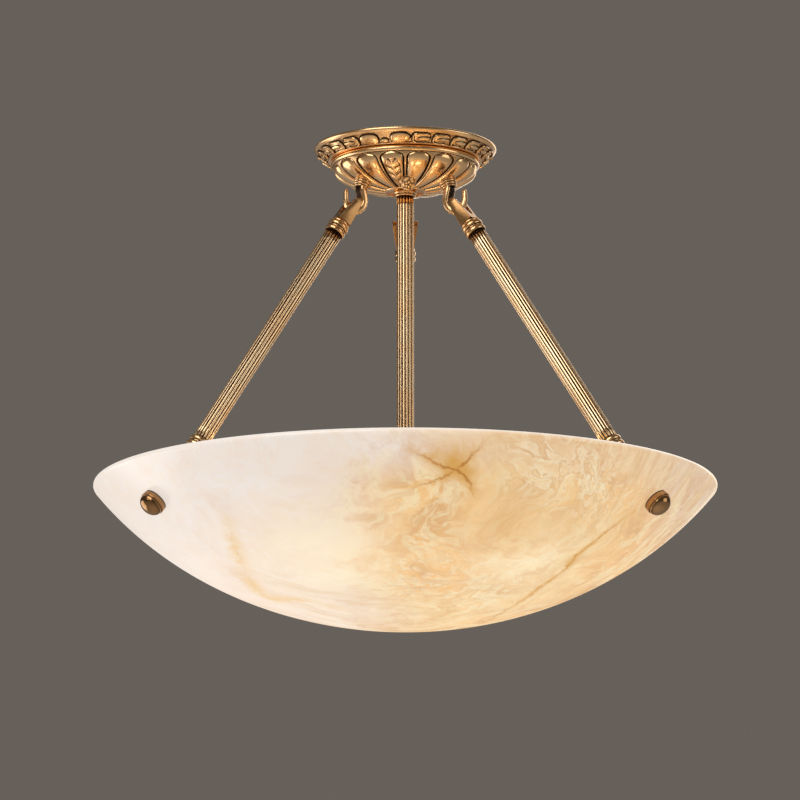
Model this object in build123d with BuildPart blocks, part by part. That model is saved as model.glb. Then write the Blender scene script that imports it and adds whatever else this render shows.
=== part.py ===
from build123d import *
import os
from math import acos, atan2, cos, hypot, pi, radians, sin, sqrt, tan

# Semi-flush pendant lamp: a stone bowl hangs on three reeded brass arms from a
# gadrooned ceiling canopy, round a fixed centre stem with three bulbs.
# Millimetres, +Z up, origin at the middle of the ceiling plane.

os.makedirs("parts", exist_ok=True)

# Stone bowl
bowl_diameter = 600.0
bowl_depth = 138.5
bowl_wall = 11.5
bowl_flare = 70.0  # how far the ellipse of the wall would run on past the rim
rim_overrun = 4.0  # how far the wall would stand out if its lip were not rounded
rim_drop = 334.5  # ceiling to the top of the rim
rim_inner_round = 2.5

# Arms, by the direction in which each one leans
arm_azimuth = {"left": 210.0, "right": 330.0, "back": 90.0}
reed_count = 16
reed_depth = 0.9
arm_diameter = 17.0
tube_bore = 12.0
tie_rod_diameter = 8.0
ferrule_diameter = 21.0
ferrule_length = 14.0
spigot_length = 6.0

# Stirrup eyes at both ends of an arm
eye_bar_diameter = 5.0
eye_length = 24.0  # pivot to the ferrule
eye_gap_depth = 17.0
eye_gap_top = 15.0
eye_gap_bottom = 9.0
eye_leg = 5.0
eye_base_width = 17.0
eye_base_depth = 14.0
eye_tip_depth = 8.5
rod_hole_depth = 5.0

# Canopy hooks
hook_circle_radius = 57.0  # lamp axis to the middle of the hook's bend
hook_drop = 60.5  # ceiling to the middle of the hook's bend
hook_bend_radius = 9.25
hook_thickness = 6.0
hook_root_width = 10.0
hook_bend_width = 7.0
hook_tip_diameter = 3.8
hook_tip_rise = 12.0
hook_play = 0.4  # eye bar to hook
hook_stud_diameter = 6.0
hook_stud_radius = 46.5  # lamp axis to the stud, at the canopy's outer face
hook_flange_diameter = 12.0
hook_flange_thickness = 2.0
hook_pad_diameter = 17.0
hook_pad_stand = 2.5
hook_collar_diameter = 17.0
hook_collar_length = 7.0
hook_nut_width = 10.0
hook_nut_height = 5.0

# Open ring hooks that stand on the inside of the bowl
bolt_inset = 31.0  # rim's outer edge to each bolt, at the bowl's outer face
ring_stand = 36.0  # bowl's outer face to the middle of the ring
ring_play = 0.75  # eye bar to ring, room for the swing
ring_opening = 75.0  # degrees of the ring left open
ring_wire_diameter = 6.0
bolt_diameter = 8.0
bolt_hole_diameter = 10.0
bolt_reach = 11.5  # thread that stands out of the bowl's outer face
spot_face_diameter = 27.0
spot_face_depth = 0.6
gasket_diameter = 24.0
gasket_thickness = 1.5
wall_collar_diameter = 22.0
wall_collar_length = 5.0

# Cap nuts outside the bowl
nut_flange_diameter = 25.5
nut_flange_thickness = 4.5
nut_groove = 0.7
nut_dome_diameter = 21.5
nut_dome_height = 12.0
nut_bore_depth = 12.0

# Canopy pan against the ceiling
pan_diameter = 178.0
pan_rim_height = 4.0
pan_rim_width = 4.4
pan_skin = 2.2
band_outer_inset = 3.0  # rim to the start of the sloping leaf band
band_top_drop = 5.5
band_gap = 4.5  # cup's wall to the foot of the leaf band
band_bottom_drop = 14.0
pan_lip = 5.0  # how far the lip reaches in over the cup's wall
leaf_count = 24
leaf_length = 17.0
leaf_thickness = 9.0
leaf_sink = 1.6

# Gadrooned canopy cup
cup_radius = 70.0
cup_height = 27.0
cup_skin = 2.5
cup_flange_thickness = 3.0
cup_bead_diameter = 4.6
cup_boss_diameter = 34.0
cup_boss_drop = 44.0
cup_boss_thickness = 5.0
gadroon_count = 16
gadroon_strip = 2.0  # flat strip between neighbouring gadroons
gadroon_height = 2.8
gadroon_root_share = 0.9  # width of the part let into the cup, against the part that shows
gadroon_lead = 6.0  # degrees of the cup's curve above each gadroon

# Ceiling plate, nipple and what is fixed to them
plate_diameter = 116.0
plate_thickness = 2.5
dish_top_diameter = 56.0
dish_floor_diameter = 48.0
dish_depth = 9.5
slot_spacing = 84.0
slot_length = 16.0
slot_width = 5.5
nipple_diameter = 10.0
nipple_bore = 7.0
nipple_top_drop = 2.0
nipple_nut_width = 17.0
nipple_nut_height = 5.5
block_length = 30.0
block_width = 15.0
block_height = 12.0
block_offset = 43.0
terminal_pitch = 10.0
terminal_screw_diameter = 5.0
terminal_screw_depth = 5.0
earth_screw_diameter = 4.0
earth_head_diameter = 8.0
earth_head_height = 3.0
earth_screw_azimuth = 60.0
earth_screw_offset = 42.0

# Centre stem, hub and lamps
stem_collar_diameter = 22.0
stem_collar_length = 5.0
stem_bottom_drop = 345.0
coupling_diameter = 24.0
coupling_length = 10.0
hub_diameter = 40.0
hub_height = 34.0
finial_diameter = 20.0
finial_length = 22.0
finial_plate_thickness = 4.0
finial_neck_diameter = 9.0
finial_ball_diameter = 14.0
finial_stud_length = 6.0
holder_diameter = 28.0
holder_length = 38.0
holder_floor = 11.0
holder_stub_diameter = 10.0
holder_stub_length = 5.0
bulb_cap_diameter = 14.0
bulb_globe_diameter = 45.0
bulb_neck_diameter = 24.0
bulb_neck_length = 6.0

# Clearances
thread_clearance = 0.05
holder_clearance = 0.3
nut_gap = 0.1
sunk = 0.3  # how deep applied ornament is let into the surface under it

# Derived outline of the bowl's wall: an ellipse about the lamp's axis
bowl_radius = bowl_diameter / 2
bolt_radius = bowl_radius - bolt_inset
rim_height = -rim_drop
bowl_reach = bowl_radius + bowl_flare
wall_edge = bowl_radius + rim_overrun
bowl_rise = bowl_depth / (1 - sqrt(1 - (wall_edge / bowl_reach) ** 2))
bowl_centre = rim_height - bowl_depth + bowl_rise


def ellipse_point(radius, reach, rise, centre):
    """Height and outward normal (radial, vertical) of an ellipse's lower half at a radius."""
    share = sqrt(1 - (radius / reach) ** 2)
    height = centre - rise * share
    slope = rise * radius / (reach**2 * share)
    length = hypot(slope, 1)
    return height, (slope / length, -1 / length)


def along(start, direction, distance):
    """Point at a distance from a start, both as (radius, height)."""
    return (start[0] + direction[0] * distance, start[1] + direction[1] * distance)


def radial_plane(azimuth):
    """Upright plane through the lamp's axis: local x is the radius, local y the height."""
    turn = radians(azimuth)
    return Plane(origin=(0, 0, 0), x_dir=(cos(turn), sin(turn), 0), z_dir=(sin(turn), -cos(turn), 0))


def line_plane(azimuth, start, direction):
    """Plane in a radial plane, with local x along a direction from a start point."""
    turn = radians(azimuth)
    return Plane(
        origin=(start[0] * cos(turn), start[0] * sin(turn), start[1]),
        x_dir=(direction[0] * cos(turn), direction[0] * sin(turn), direction[1]),
        z_dir=(sin(turn), -cos(turn), 0),
    )


def across(plane, distance):
    """Plane square to a line plane's local x, at a distance along it."""
    return Plane(origin=plane.from_local_coords((distance, 0, 0)), x_dir=plane.y_dir, z_dir=plane.x_dir)


def spin_axis(plane):
    """Axis of the turned pieces that lie along a line plane's local x."""
    return Axis(plane.origin, plane.x_dir)


def keep(piece, name):
    """Label a finished piece and write it."""
    piece.part.label = name
    export_step(piece.part, f"parts/{name}.step")


def step_box(start, low, length, height, mode=Mode.ADD):
    """Rectangle in a turned profile, from a place on the axis and a lower radius."""
    with Locations((start, low)):
        Rectangle(length, height, align=(Align.MIN, Align.MIN), mode=mode)


# Wall bolts: where they leave the bowl, and how thick the wall is along them
bolt_height, bolt_normal = ellipse_point(bolt_radius, bowl_reach, bowl_rise, bowl_centre)
bolt_point = (bolt_radius, bolt_height)
inner_reach = bowl_reach - bowl_wall
inner_rise = bowl_rise - bowl_wall
offset_height = bolt_height - bowl_centre
square_term = (bolt_normal[0] / inner_reach) ** 2 + (bolt_normal[1] / inner_rise) ** 2
mixed_term = bolt_radius * bolt_normal[0] / inner_reach**2 + offset_height * bolt_normal[1] / inner_rise**2
free_term = (bolt_radius / inner_reach) ** 2 + (offset_height / inner_rise) ** 2 - 1
wall_at_bolt = (mixed_term - sqrt(mixed_term**2 - square_term * free_term)) / square_term

# Arms run straight between the middles of their two hooks
hook_centre = (hook_circle_radius, -hook_drop)
ring_centre = along(bolt_point, bolt_normal, -ring_stand)
arm_span = hypot(ring_centre[0] - hook_centre[0], ring_centre[1] - hook_centre[1])
arm_down = ((ring_centre[0] - hook_centre[0]) / arm_span, (ring_centre[1] - hook_centre[1]) / arm_span)
arm_up = (-arm_down[0], -arm_down[1])
hook_seat = hook_bend_radius - hook_thickness / 2 - eye_bar_diameter / 2 - hook_play
ring_radius = hook_bend_radius
ring_seat = ring_radius - ring_wire_diameter / 2 - eye_bar_diameter / 2 - ring_play
top_pivot = along(hook_centre, arm_down, hook_seat)
bottom_pivot = along(ring_centre, arm_up, ring_seat)
arm_length = hypot(bottom_pivot[0] - top_pivot[0], bottom_pivot[1] - top_pivot[1])
sway_height = top_pivot[1] - top_pivot[0] * arm_down[1] / arm_down[0]
sway_ratio = (bottom_pivot[0] / arm_down[0]) / arm_length

# Canopy heights
cup_top = -band_bottom_drop
cup_centre = cup_top - cup_flange_thickness
cup_floor = -cup_boss_drop
stud_height, stud_normal = ellipse_point(hook_stud_radius, cup_radius, cup_height, cup_centre)
stud_point = (hook_stud_radius, stud_height)
hook_root_reach = hook_pad_stand + hook_collar_length
nipple_bottom = cup_floor - stem_collar_length - spigot_length
stem_top = cup_floor - stem_collar_length
stem_bottom = -stem_bottom_drop
hub_top = stem_bottom - coupling_length
hub_middle = hub_top - hub_height / 2
hub_bottom = hub_top - hub_height
tube_start = eye_length + ferrule_length
print(f"arm pivots {top_pivot} {bottom_pivot}, arm length {arm_length:.4f}, lean {arm_down}")
print(f"sway centre {sway_height:.4f}, arm turns {sway_ratio:.5f} times the bowl's sway")
print(f"wall bolts at {bolt_point}, outwards {bolt_normal}, wall along bolt {wall_at_bolt:.3f}")
print(f"hook studs at {stud_point}, outwards {stud_normal}; hub middle {hub_middle}")


# Bowl: a shallow turned stone shell with a rounded lip and three spot-faced bolt holes
rim_angle = atan2(bowl_rise * wall_edge, bowl_reach**2 * sqrt(1 - (wall_edge / bowl_reach) ** 2))
rim_round = rim_overrun / (1 / tan(rim_angle / 2) - 1)
with BuildPart() as bowl:
    with BuildSketch(Plane.XZ) as bowl_section:
        with Locations((0, bowl_centre)):
            Ellipse(bowl_reach, bowl_rise)
            Ellipse(inner_reach, inner_rise, mode=Mode.SUBTRACT)
        with Locations((0, rim_height - bowl_depth)):
            Rectangle(bowl_reach, bowl_depth, align=(Align.MIN, Align.MIN), mode=Mode.INTERSECT)
        outer_corner = bowl_section.vertices().group_by(Axis.Y)[-1].sort_by(Axis.X)[-1]
        fillet(outer_corner, rim_round)
        inner_corner = bowl_section.vertices().group_by(Axis.Y)[-1].sort_by(Axis.X)[0]
        fillet(inner_corner, rim_inner_round)
    revolve(axis=Axis.Z)
    for azimuth in arm_azimuth.values():
        wall_line = line_plane(azimuth, bolt_point, bolt_normal)
        with BuildSketch(across(wall_line, 0)):
            Circle(bolt_hole_diameter / 2)
        extrude(amount=bowl_wall * 2, both=True, mode=Mode.SUBTRACT)
        with BuildSketch(across(wall_line, -spot_face_depth)):
            Circle(spot_face_diameter / 2)
        extrude(amount=bowl_wall, mode=Mode.SUBTRACT)
        with BuildSketch(across(wall_line, spot_face_depth - wall_at_bolt)):
            Circle(spot_face_diameter / 2)
        extrude(amount=-bowl_wall, mode=Mode.SUBTRACT)
keep(bowl, "bowl")


# Bolts in the bowl's wall, each with an open ring on the inside
shank_start = ring_radius - ring_wire_diameter / 2 - ring_stand
outer_seat = -spot_face_depth
inner_seat = spot_face_depth - wall_at_bolt
collar_start = inner_seat - gasket_thickness - wall_collar_length
for side, azimuth in arm_azimuth.items():
    wall_line = line_plane(azimuth, bolt_point, bolt_normal)
    with BuildPart() as wall_hook:
        ring_middle = wall_line.from_local_coords((-ring_stand, 0, 0))
        with BuildSketch(Plane(origin=ring_middle, x_dir=wall_line.x_dir, z_dir=-wall_line.y_dir)):
            with Locations((ring_radius, 0)):
                Circle(ring_wire_diameter / 2)
        revolve(axis=Axis(ring_middle, wall_line.z_dir), revolution_arc=360 - ring_opening)
        ring_end = wall_hook.edges().filter_by(GeomType.CIRCLE).sort_by(Axis(ring_middle, wall_line.y_dir))[0]
        fillet(ring_end, ring_wire_diameter / 4)
        with BuildSketch(across(wall_line, shank_start)):
            Circle(bolt_diameter / 2)
        extrude(amount=bolt_reach - shank_start)
    keep(wall_hook, f"wall_hook_{side}")

with BuildPart() as inner_gaskets:
    for azimuth in arm_azimuth.values():
        wall_line = line_plane(azimuth, bolt_point, bolt_normal)
        with BuildSketch(across(wall_line, inner_seat)):
            Circle(gasket_diameter / 2)
            Circle(bolt_diameter / 2 + thread_clearance, mode=Mode.SUBTRACT)
        extrude(amount=-gasket_thickness)
keep(inner_gaskets, "inner_gaskets")

with BuildPart() as outer_gaskets:
    for azimuth in arm_azimuth.values():
        wall_line = line_plane(azimuth, bolt_point, bolt_normal)
        with BuildSketch(across(wall_line, outer_seat)):
            Circle(gasket_diameter / 2)
            Circle(bolt_diameter / 2 + thread_clearance, mode=Mode.SUBTRACT)
        extrude(amount=gasket_thickness)
keep(outer_gaskets, "outer_gaskets")

with BuildPart() as wall_collars:
    for azimuth in arm_azimuth.values():
        wall_line = line_plane(azimuth, bolt_point, bolt_normal)
        collar_bore = bolt_diameter / 2 + thread_clearance
        bead = wall_collar_length / 4
        core = wall_collar_diameter / 2 - bead
        with BuildSketch(wall_line):
            step_box(collar_start, collar_bore, wall_collar_length, core - collar_bore)
            with Locations((collar_start + bead, core), (collar_start + wall_collar_length - bead, core)):
                Circle(bead)
        revolve(axis=spin_axis(wall_line))
keep(wall_collars, "wall_collars")

# Domed cap nuts, with a groove round the flange
nut_start = outer_seat + gasket_thickness + nut_gap
nut_shoulder = nut_start + nut_flange_thickness
for side, azimuth in arm_azimuth.items():
    wall_line = line_plane(azimuth, bolt_point, bolt_normal)
    with BuildPart() as cap_nut:
        with BuildSketch(wall_line):
            step_box(nut_start, 0, nut_flange_thickness, nut_flange_diameter / 2)
            with Locations((nut_start + nut_flange_thickness / 2, nut_flange_diameter / 2)):
                Circle(nut_groove, mode=Mode.SUBTRACT)
            with BuildLine():
                dome_side = EllipticalCenterArc(
                    (nut_shoulder, 0), nut_dome_height, nut_dome_diameter / 2, start_angle=0, arc_size=90
                )
                Polyline(dome_side @ 1, (nut_shoulder, 0), dome_side @ 0)
            make_face()
        revolve(axis=spin_axis(wall_line))
        with BuildSketch(across(wall_line, nut_start)):
            Circle(bolt_diameter / 2 + thread_clearance)
        extrude(amount=nut_bore_depth, mode=Mode.SUBTRACT)
    keep(cap_nut, f"cap_nut_{side}")


# Arms: stirrup eye, ringed ferrule, reeded tube, and the same again at the lower end
def build_eye(name, azimuth, pivot, direction):
    """Forked eye with a round cross bar at the pivot, its base towards the arm's tube."""
    side_view = line_plane(azimuth, pivot, direction)
    face_view = Plane(origin=side_view.origin, x_dir=side_view.x_dir, z_dir=side_view.y_dir)
    tip = eye_tip_depth / 2
    half_top = eye_gap_top / 2 + eye_leg
    half_base = eye_base_width / 2
    base = eye_base_depth / 2
    gap = eye_gap_bottom / 2
    gap_end = eye_gap_depth - gap
    with BuildPart() as eye:
        with BuildSketch(face_view):
            with BuildLine():
                Polyline(
                    (-tip, half_top), (0, half_top), (eye_length, half_base),
                    (eye_length, -half_base), (0, -half_top), (-tip, -half_top), close=True,
                )
            make_face()
        extrude(amount=base, both=True)
        with BuildSketch(side_view):
            with BuildLine():
                Polyline((0, tip), (eye_length, base), (eye_length, -base), (0, -tip))
                ThreePointArc((0, -tip), (-tip, 0), (0, tip))
            make_face()
        extrude(amount=half_top, both=True, mode=Mode.INTERSECT)
        with BuildSketch(face_view):
            with BuildLine():
                Polyline(
                    (gap_end, gap), (0, eye_gap_top / 2), (-eye_length, eye_gap_top / 2),
                    (-eye_length, -eye_gap_top / 2), (0, -eye_gap_top / 2), (gap_end, -gap),
                )
                ThreePointArc((gap_end, -gap), (eye_gap_depth, 0), (gap_end, gap))
            make_face()
        extrude(amount=eye_base_depth, both=True, mode=Mode.SUBTRACT)
        with BuildSketch(side_view):
            Circle(eye_bar_diameter / 2)
        extrude(amount=half_top - eye_leg / 2, both=True)
        with BuildSketch(across(side_view, eye_length)):
            Circle(tie_rod_diameter / 2 + thread_clearance)
        extrude(amount=-rod_hole_depth, mode=Mode.SUBTRACT)
    keep(eye, name)


def build_ferrule(name, azimuth, pivot, direction):
    """Three turned rings with a spigot that centres the reeded tube."""
    line = line_plane(azimuth, pivot, direction)
    bore = tie_rod_diameter / 2 + thread_clearance
    bead = ferrule_length / 6
    core = ferrule_diameter / 2 - bead
    with BuildPart() as ferrule:
        with BuildSketch(line):
            step_box(eye_length, bore, ferrule_length, core - bore)
            with Locations(*[(eye_length + bead * (2 * ring + 1), core) for ring in range(3)]):
                Circle(bead)
            step_box(tube_start, bore, spigot_length, tube_bore / 2 - thread_clearance - bore)
        revolve(axis=spin_axis(line))
    keep(ferrule, name)


def draw_reeds(outer_diameter, bore_diameter):
    """Section of a reeded tube: a ring of half-round reeds about a bored core."""
    reed_radius = (outer_diameter / 2) * sin(pi / reed_count) / (1 + sin(pi / reed_count)) + reed_depth / 6
    Circle(outer_diameter / 2 - reed_depth)
    with PolarLocations(outer_diameter / 2 - reed_radius, reed_count):
        Circle(reed_radius)
    Circle(bore_diameter / 2, mode=Mode.SUBTRACT)


for side, azimuth in arm_azimuth.items():
    build_eye(f"arm_{side}_top_eye", azimuth, top_pivot, arm_down)
    build_eye(f"arm_{side}_bottom_eye", azimuth, bottom_pivot, arm_up)
    build_ferrule(f"arm_{side}_top_ferrule", azimuth, top_pivot, arm_down)
    build_ferrule(f"arm_{side}_bottom_ferrule", azimuth, bottom_pivot, arm_up)
    arm_line = line_plane(azimuth, top_pivot, arm_down)
    with BuildPart() as arm_tube:
        with BuildSketch(across(arm_line, tube_start)):
            draw_reeds(arm_diameter, tube_bore)
        extrude(amount=arm_length - 2 * tube_start)
    keep(arm_tube, f"arm_{side}_tube")
    rod_start = eye_length - rod_hole_depth
    with BuildPart() as tie_rod:
        with BuildSketch(across(arm_line, rod_start)):
            Circle(tie_rod_diameter / 2)
        extrude(amount=arm_length - 2 * rod_start)
    keep(tie_rod, f"arm_{side}_tie_rod")


# Canopy hooks: a stud square to the cup, a small flange and a tapering open bend
hook_root = along(stud_point, stud_normal, hook_root_reach + hook_flange_thickness / 2)
bend_left = (hook_circle_radius - hook_bend_radius, -hook_drop)
root_run = hypot(bend_left[0] - hook_root[0], bend_left[1] - hook_root[1])
root_heading = ((bend_left[0] - hook_root[0]) / root_run, (bend_left[1] - hook_root[1]) / root_run)
root_middle = along(hook_root, root_heading, root_run / 2)
hook_stations = [
    (hook_root, stud_normal, hook_root_width, hook_thickness),
    (root_middle, root_heading, hook_root_width, hook_thickness),
]
for turn in (180, 225, 270, 315, 360):
    spoke = (cos(radians(turn)), sin(radians(turn)))
    share = (turn - 180) / 180
    width = hook_root_width + (hook_bend_width - hook_root_width) * share
    thickness = hook_thickness + (hook_tip_diameter - hook_thickness) * share**3
    heading = (-spoke[1], spoke[0])
    hook_stations.append((along(hook_centre, spoke, hook_bend_radius), heading, width, thickness))
bend_right = (hook_circle_radius + hook_bend_radius, -hook_drop)
for rise_share, size_share in ((0.5, 1.2), (1.0, 1.0)):
    tip_point = along(bend_right, (0, 1), hook_tip_rise * rise_share)
    tip_size = hook_tip_diameter * size_share
    hook_stations.append((tip_point, (0, 1), tip_size, tip_size))
stud_start = -cup_skin - hook_nut_height - hook_pad_stand
for side, azimuth in arm_azimuth.items():
    stud_line = line_plane(azimuth, stud_point, stud_normal)
    with BuildPart() as hook:
        for place, heading, width, thickness in hook_stations:
            station = line_plane(azimuth, place, heading)
            with BuildSketch(Plane(origin=station.origin, x_dir=station.z_dir, z_dir=station.x_dir)):
                Ellipse(width / 2, thickness / 2)
        loft()
        tip_face = hook.faces().filter_by(GeomType.PLANE).sort_by(SortBy.AREA)[0]
        fillet(tip_face.edges(), hook_tip_diameter / 3)
        with BuildSketch(across(stud_line, hook_root_reach)):
            Circle(hook_flange_diameter / 2)
        extrude(amount=hook_flange_thickness)
        with BuildSketch(across(stud_line, stud_start)):
            Circle(hook_stud_diameter / 2)
        extrude(amount=hook_root_reach - stud_start)
    keep(hook, f"hook_{side}")


# Collars and nuts that clamp the hooks to the cup
with BuildPart() as hook_collars:
    for azimuth in arm_azimuth.values():
        stud_line = line_plane(azimuth, stud_point, stud_normal)
        collar_bore = hook_stud_diameter / 2 + thread_clearance
        bead = hook_collar_length / 6
        core = hook_collar_diameter / 2 - bead
        with BuildSketch(stud_line):
            step_box(hook_pad_stand, collar_bore, hook_collar_length, core - collar_bore)
            with Locations(*[(hook_pad_stand + bead * (2 * ring + 1), core) for ring in range(3)]):
                Circle(bead)
        revolve(axis=spin_axis(stud_line))
keep(hook_collars, "hook_collars")

with BuildPart() as hook_nuts:
    for azimuth in arm_azimuth.values():
        stud_line = line_plane(azimuth, stud_point, stud_normal)
        with BuildSketch(across(stud_line, -cup_skin - hook_pad_stand)):
            RegularPolygon(hook_nut_width / 2, 6, major_radius=False)
            Circle(hook_stud_diameter / 2 + thread_clearance, mode=Mode.SUBTRACT)
        extrude(amount=-hook_nut_height)
keep(hook_nuts, "hook_nuts")


# Canopy pan: rolled rim, sloping band with a ring of leaves, and a lip that holds the cup
pan_radius = pan_diameter / 2
lip_radius = cup_radius - pan_lip
band_top = (pan_radius - band_outer_inset, -band_top_drop)
band_foot = (cup_radius + band_gap, -band_bottom_drop)
band_run = hypot(band_foot[0] - band_top[0], band_foot[1] - band_top[1])
band_slope = ((band_foot[0] - band_top[0]) / band_run, (band_foot[1] - band_top[1]) / band_run)
band_normal = (-band_slope[1], band_slope[0])
band_middle = along(band_top, band_slope, band_run / 2)
leaf_centre = along(band_middle, band_normal, -leaf_sink)

leaf_plane = Plane(
    origin=(leaf_centre[0], 0, leaf_centre[1]),
    x_dir=(0, 1, 0),
    z_dir=(band_slope[0], 0, band_slope[1]),
)
with BuildPart() as leaf:
    with BuildSketch(leaf_plane):
        with BuildLine():
            ThreePointArc(
                (-leaf_length / 2, 0), (-leaf_length / 8, leaf_thickness / 2), (leaf_length / 2, 0)
            )
            Line((leaf_length / 2, 0), (-leaf_length / 2, 0))
        make_face()
    revolve(axis=Axis(leaf_plane.origin, leaf_plane.x_dir))

with BuildPart() as canopy_pan:
    with BuildSketch(Plane.XZ):
        with BuildLine():
            Polyline(
                (0, 0), (pan_radius, 0), (pan_radius, -pan_rim_height), band_top, band_foot,
                (0, -band_bottom_drop), close=True,
            )
        make_face()
    revolve(axis=Axis.Z)
    with PolarLocations(0, leaf_count):
        add(leaf.part)
    with BuildSketch(Plane.XZ):
        with BuildLine():
            Polyline(
                (0, 0), (pan_radius - pan_rim_width, 0), (pan_radius - pan_rim_width, -pan_rim_height),
                along(band_foot, band_normal, -pan_skin), (lip_radius, pan_skin - band_bottom_drop),
                (lip_radius, -2 * band_bottom_drop), (0, -2 * band_bottom_drop), close=True,
            )
        make_face()
    revolve(axis=Axis.Z, mode=Mode.SUBTRACT)
keep(canopy_pan, "canopy_pan")


# Canopy cup: an elliptical shell with raised gadroons, a bead, a boss and three hook pads
def gadroon_plane(angle):
    """Section plane across a gadroon: local x goes round the cup, local y points outwards."""
    radius = cup_radius * cos(angle)
    height = cup_centre - cup_height * sin(angle)
    return Plane(
        origin=(radius, 0, height),
        x_dir=(0, 1, 0),
        z_dir=(-cup_radius * sin(angle), 0, -cup_height * cos(angle)),
    )


gadroon_end = acos((cup_boss_diameter / 2 + gadroon_strip) / cup_radius)
gadroon_start = radians(gadroon_lead)
gadroon_shape = (
    (0.00, 0.35, 0.15), (0.10, 0.85, 0.80), (0.32, 1.00, 1.00), (0.65, 1.00, 0.75), (1.00, 0.85, 0.20),
)
with BuildPart() as gadroon:
    for share, width_share, height_share in gadroon_shape:
        angle = gadroon_start + (gadroon_end - gadroon_start) * share
        section_plane = gadroon_plane(angle)
        radius = section_plane.origin.X
        half_width = (pi * radius / gadroon_count - gadroon_strip / 2) * width_share
        edge = -(half_width**2) * section_plane.y_dir.X / (2 * radius) - sunk
        root = edge - cup_skin
        root_width = half_width * gadroon_root_share
        with BuildSketch(section_plane):
            with BuildLine():
                ThreePointArc((-half_width, edge), (0, gadroon_height * height_share), (half_width, edge))
                Polyline((half_width, edge), (root_width, root), (-root_width, root), (-half_width, edge))
            make_face()
    loft()

with BuildPart() as canopy_cup:
    with BuildSketch(Plane.XZ):
        with Locations((0, cup_centre)):
            Ellipse(cup_radius, cup_height)
            Rectangle(cup_radius, cup_height, align=(Align.MIN, Align.MAX), mode=Mode.INTERSECT)
        with Locations((0, cup_top)):
            Rectangle(cup_radius, cup_flange_thickness, align=(Align.MIN, Align.MAX))
        with Locations((cup_radius, cup_top - cup_bead_diameter / 2)):
            Circle(cup_bead_diameter / 2)
        with Locations((0, cup_floor)):
            Rectangle(cup_boss_diameter / 2, cup_height / 2, align=(Align.MIN, Align.MIN))
    revolve(axis=Axis.Z)
    with PolarLocations(0, gadroon_count, start_angle=180 / gadroon_count):
        add(gadroon.part)
    for azimuth in arm_azimuth.values():
        stud_line = line_plane(azimuth, stud_point, stud_normal)
        with BuildSketch(across(stud_line, hook_pad_stand)):
            Circle(hook_pad_diameter / 2)
        extrude(amount=-hook_pad_stand - cup_skin / 2)
        with BuildSketch(across(stud_line, hook_pad_stand)):
            Circle(hook_pad_diameter / 2 + nut_gap)
        extrude(amount=gadroon_height, mode=Mode.SUBTRACT)
    with BuildSketch(Plane.XZ):
        with Locations((0, cup_centre)):
            Ellipse(cup_radius - cup_skin, cup_height - cup_skin)
            Rectangle(cup_radius, cup_height, align=(Align.MIN, Align.MAX), mode=Mode.INTERSECT)
        with Locations((0, cup_top)):
            Rectangle(cup_radius - cup_skin, cup_flange_thickness, align=(Align.MIN, Align.MAX))
        with Locations((0, cup_floor)):
            Rectangle(
                cup_boss_diameter / 2, cup_boss_thickness, align=(Align.MIN, Align.MIN), mode=Mode.SUBTRACT
            )
    revolve(axis=Axis.Z, mode=Mode.SUBTRACT)
    for azimuth in arm_azimuth.values():
        stud_line = line_plane(azimuth, stud_point, stud_normal)
        with BuildSketch(across(stud_line, -cup_skin / 2)):
            Circle(hook_pad_diameter / 2)
        extrude(amount=-hook_pad_stand - cup_skin / 2)
        with BuildSketch(across(stud_line, 0)):
            Circle(hook_stud_diameter / 2 + thread_clearance)
        extrude(amount=2 * cup_skin + 2 * hook_pad_stand, both=True, mode=Mode.SUBTRACT)
    with BuildSketch(Plane.XY.offset(cup_floor)):
        Circle(nipple_diameter / 2 + thread_clearance)
    extrude(amount=cup_height, mode=Mode.SUBTRACT)
keep(canopy_cup, "canopy_cup")


# Dished ceiling plate with two slots for the ceiling screws
with BuildPart() as ceiling_plate:
    with BuildSketch(Plane.XZ):
        with BuildLine():
            Polyline(
                (nipple_diameter / 2 + thread_clearance, -dish_depth),
                (dish_floor_diameter / 2, -dish_depth),
                (dish_top_diameter / 2, 0),
                (plate_diameter / 2, 0),
                (plate_diameter / 2, -plate_thickness),
                (dish_top_diameter / 2 + plate_thickness / 2, -plate_thickness),
                (dish_floor_diameter / 2 + plate_thickness / 2, -dish_depth - plate_thickness),
                (nipple_diameter / 2 + thread_clearance, -dish_depth - plate_thickness),
                close=True,
            )
        make_face()
    revolve(axis=Axis.Z)
    with BuildSketch(Plane.XY):
        with Locations((-slot_spacing / 2, 0), (slot_spacing / 2, 0)):
            SlotOverall(slot_length, slot_width)
        with PolarLocations(earth_screw_offset, 1, start_angle=earth_screw_azimuth):
            Circle(earth_screw_diameter / 2 + thread_clearance)
    extrude(amount=-plate_thickness, mode=Mode.SUBTRACT)
keep(ceiling_plate, "ceiling_plate")

# Hollow threaded nipple that carries the cup and the stem, and its three nuts
with BuildPart() as nipple:
    with BuildSketch(Plane.XY.offset(-nipple_top_drop)):
        Circle(nipple_diameter / 2)
        Circle(nipple_bore / 2, mode=Mode.SUBTRACT)
    extrude(amount=nipple_bottom + nipple_top_drop)
keep(nipple, "nipple")

plate_underside = -dish_depth - plate_thickness
cup_nut_top = cup_floor + cup_boss_thickness + nipple_nut_height
nut_seats = (-dish_depth + nipple_nut_height, plate_underside, cup_nut_top)
with BuildPart() as nipple_nuts:
    for nut_top in nut_seats:
        with BuildSketch(Plane.XY.offset(nut_top)):
            RegularPolygon(nipple_nut_width / 2, 6, major_radius=False)
            Circle(nipple_diameter / 2 + thread_clearance, mode=Mode.SUBTRACT)
        extrude(amount=-nipple_nut_height)
keep(nipple_nuts, "nipple_nuts")

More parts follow.
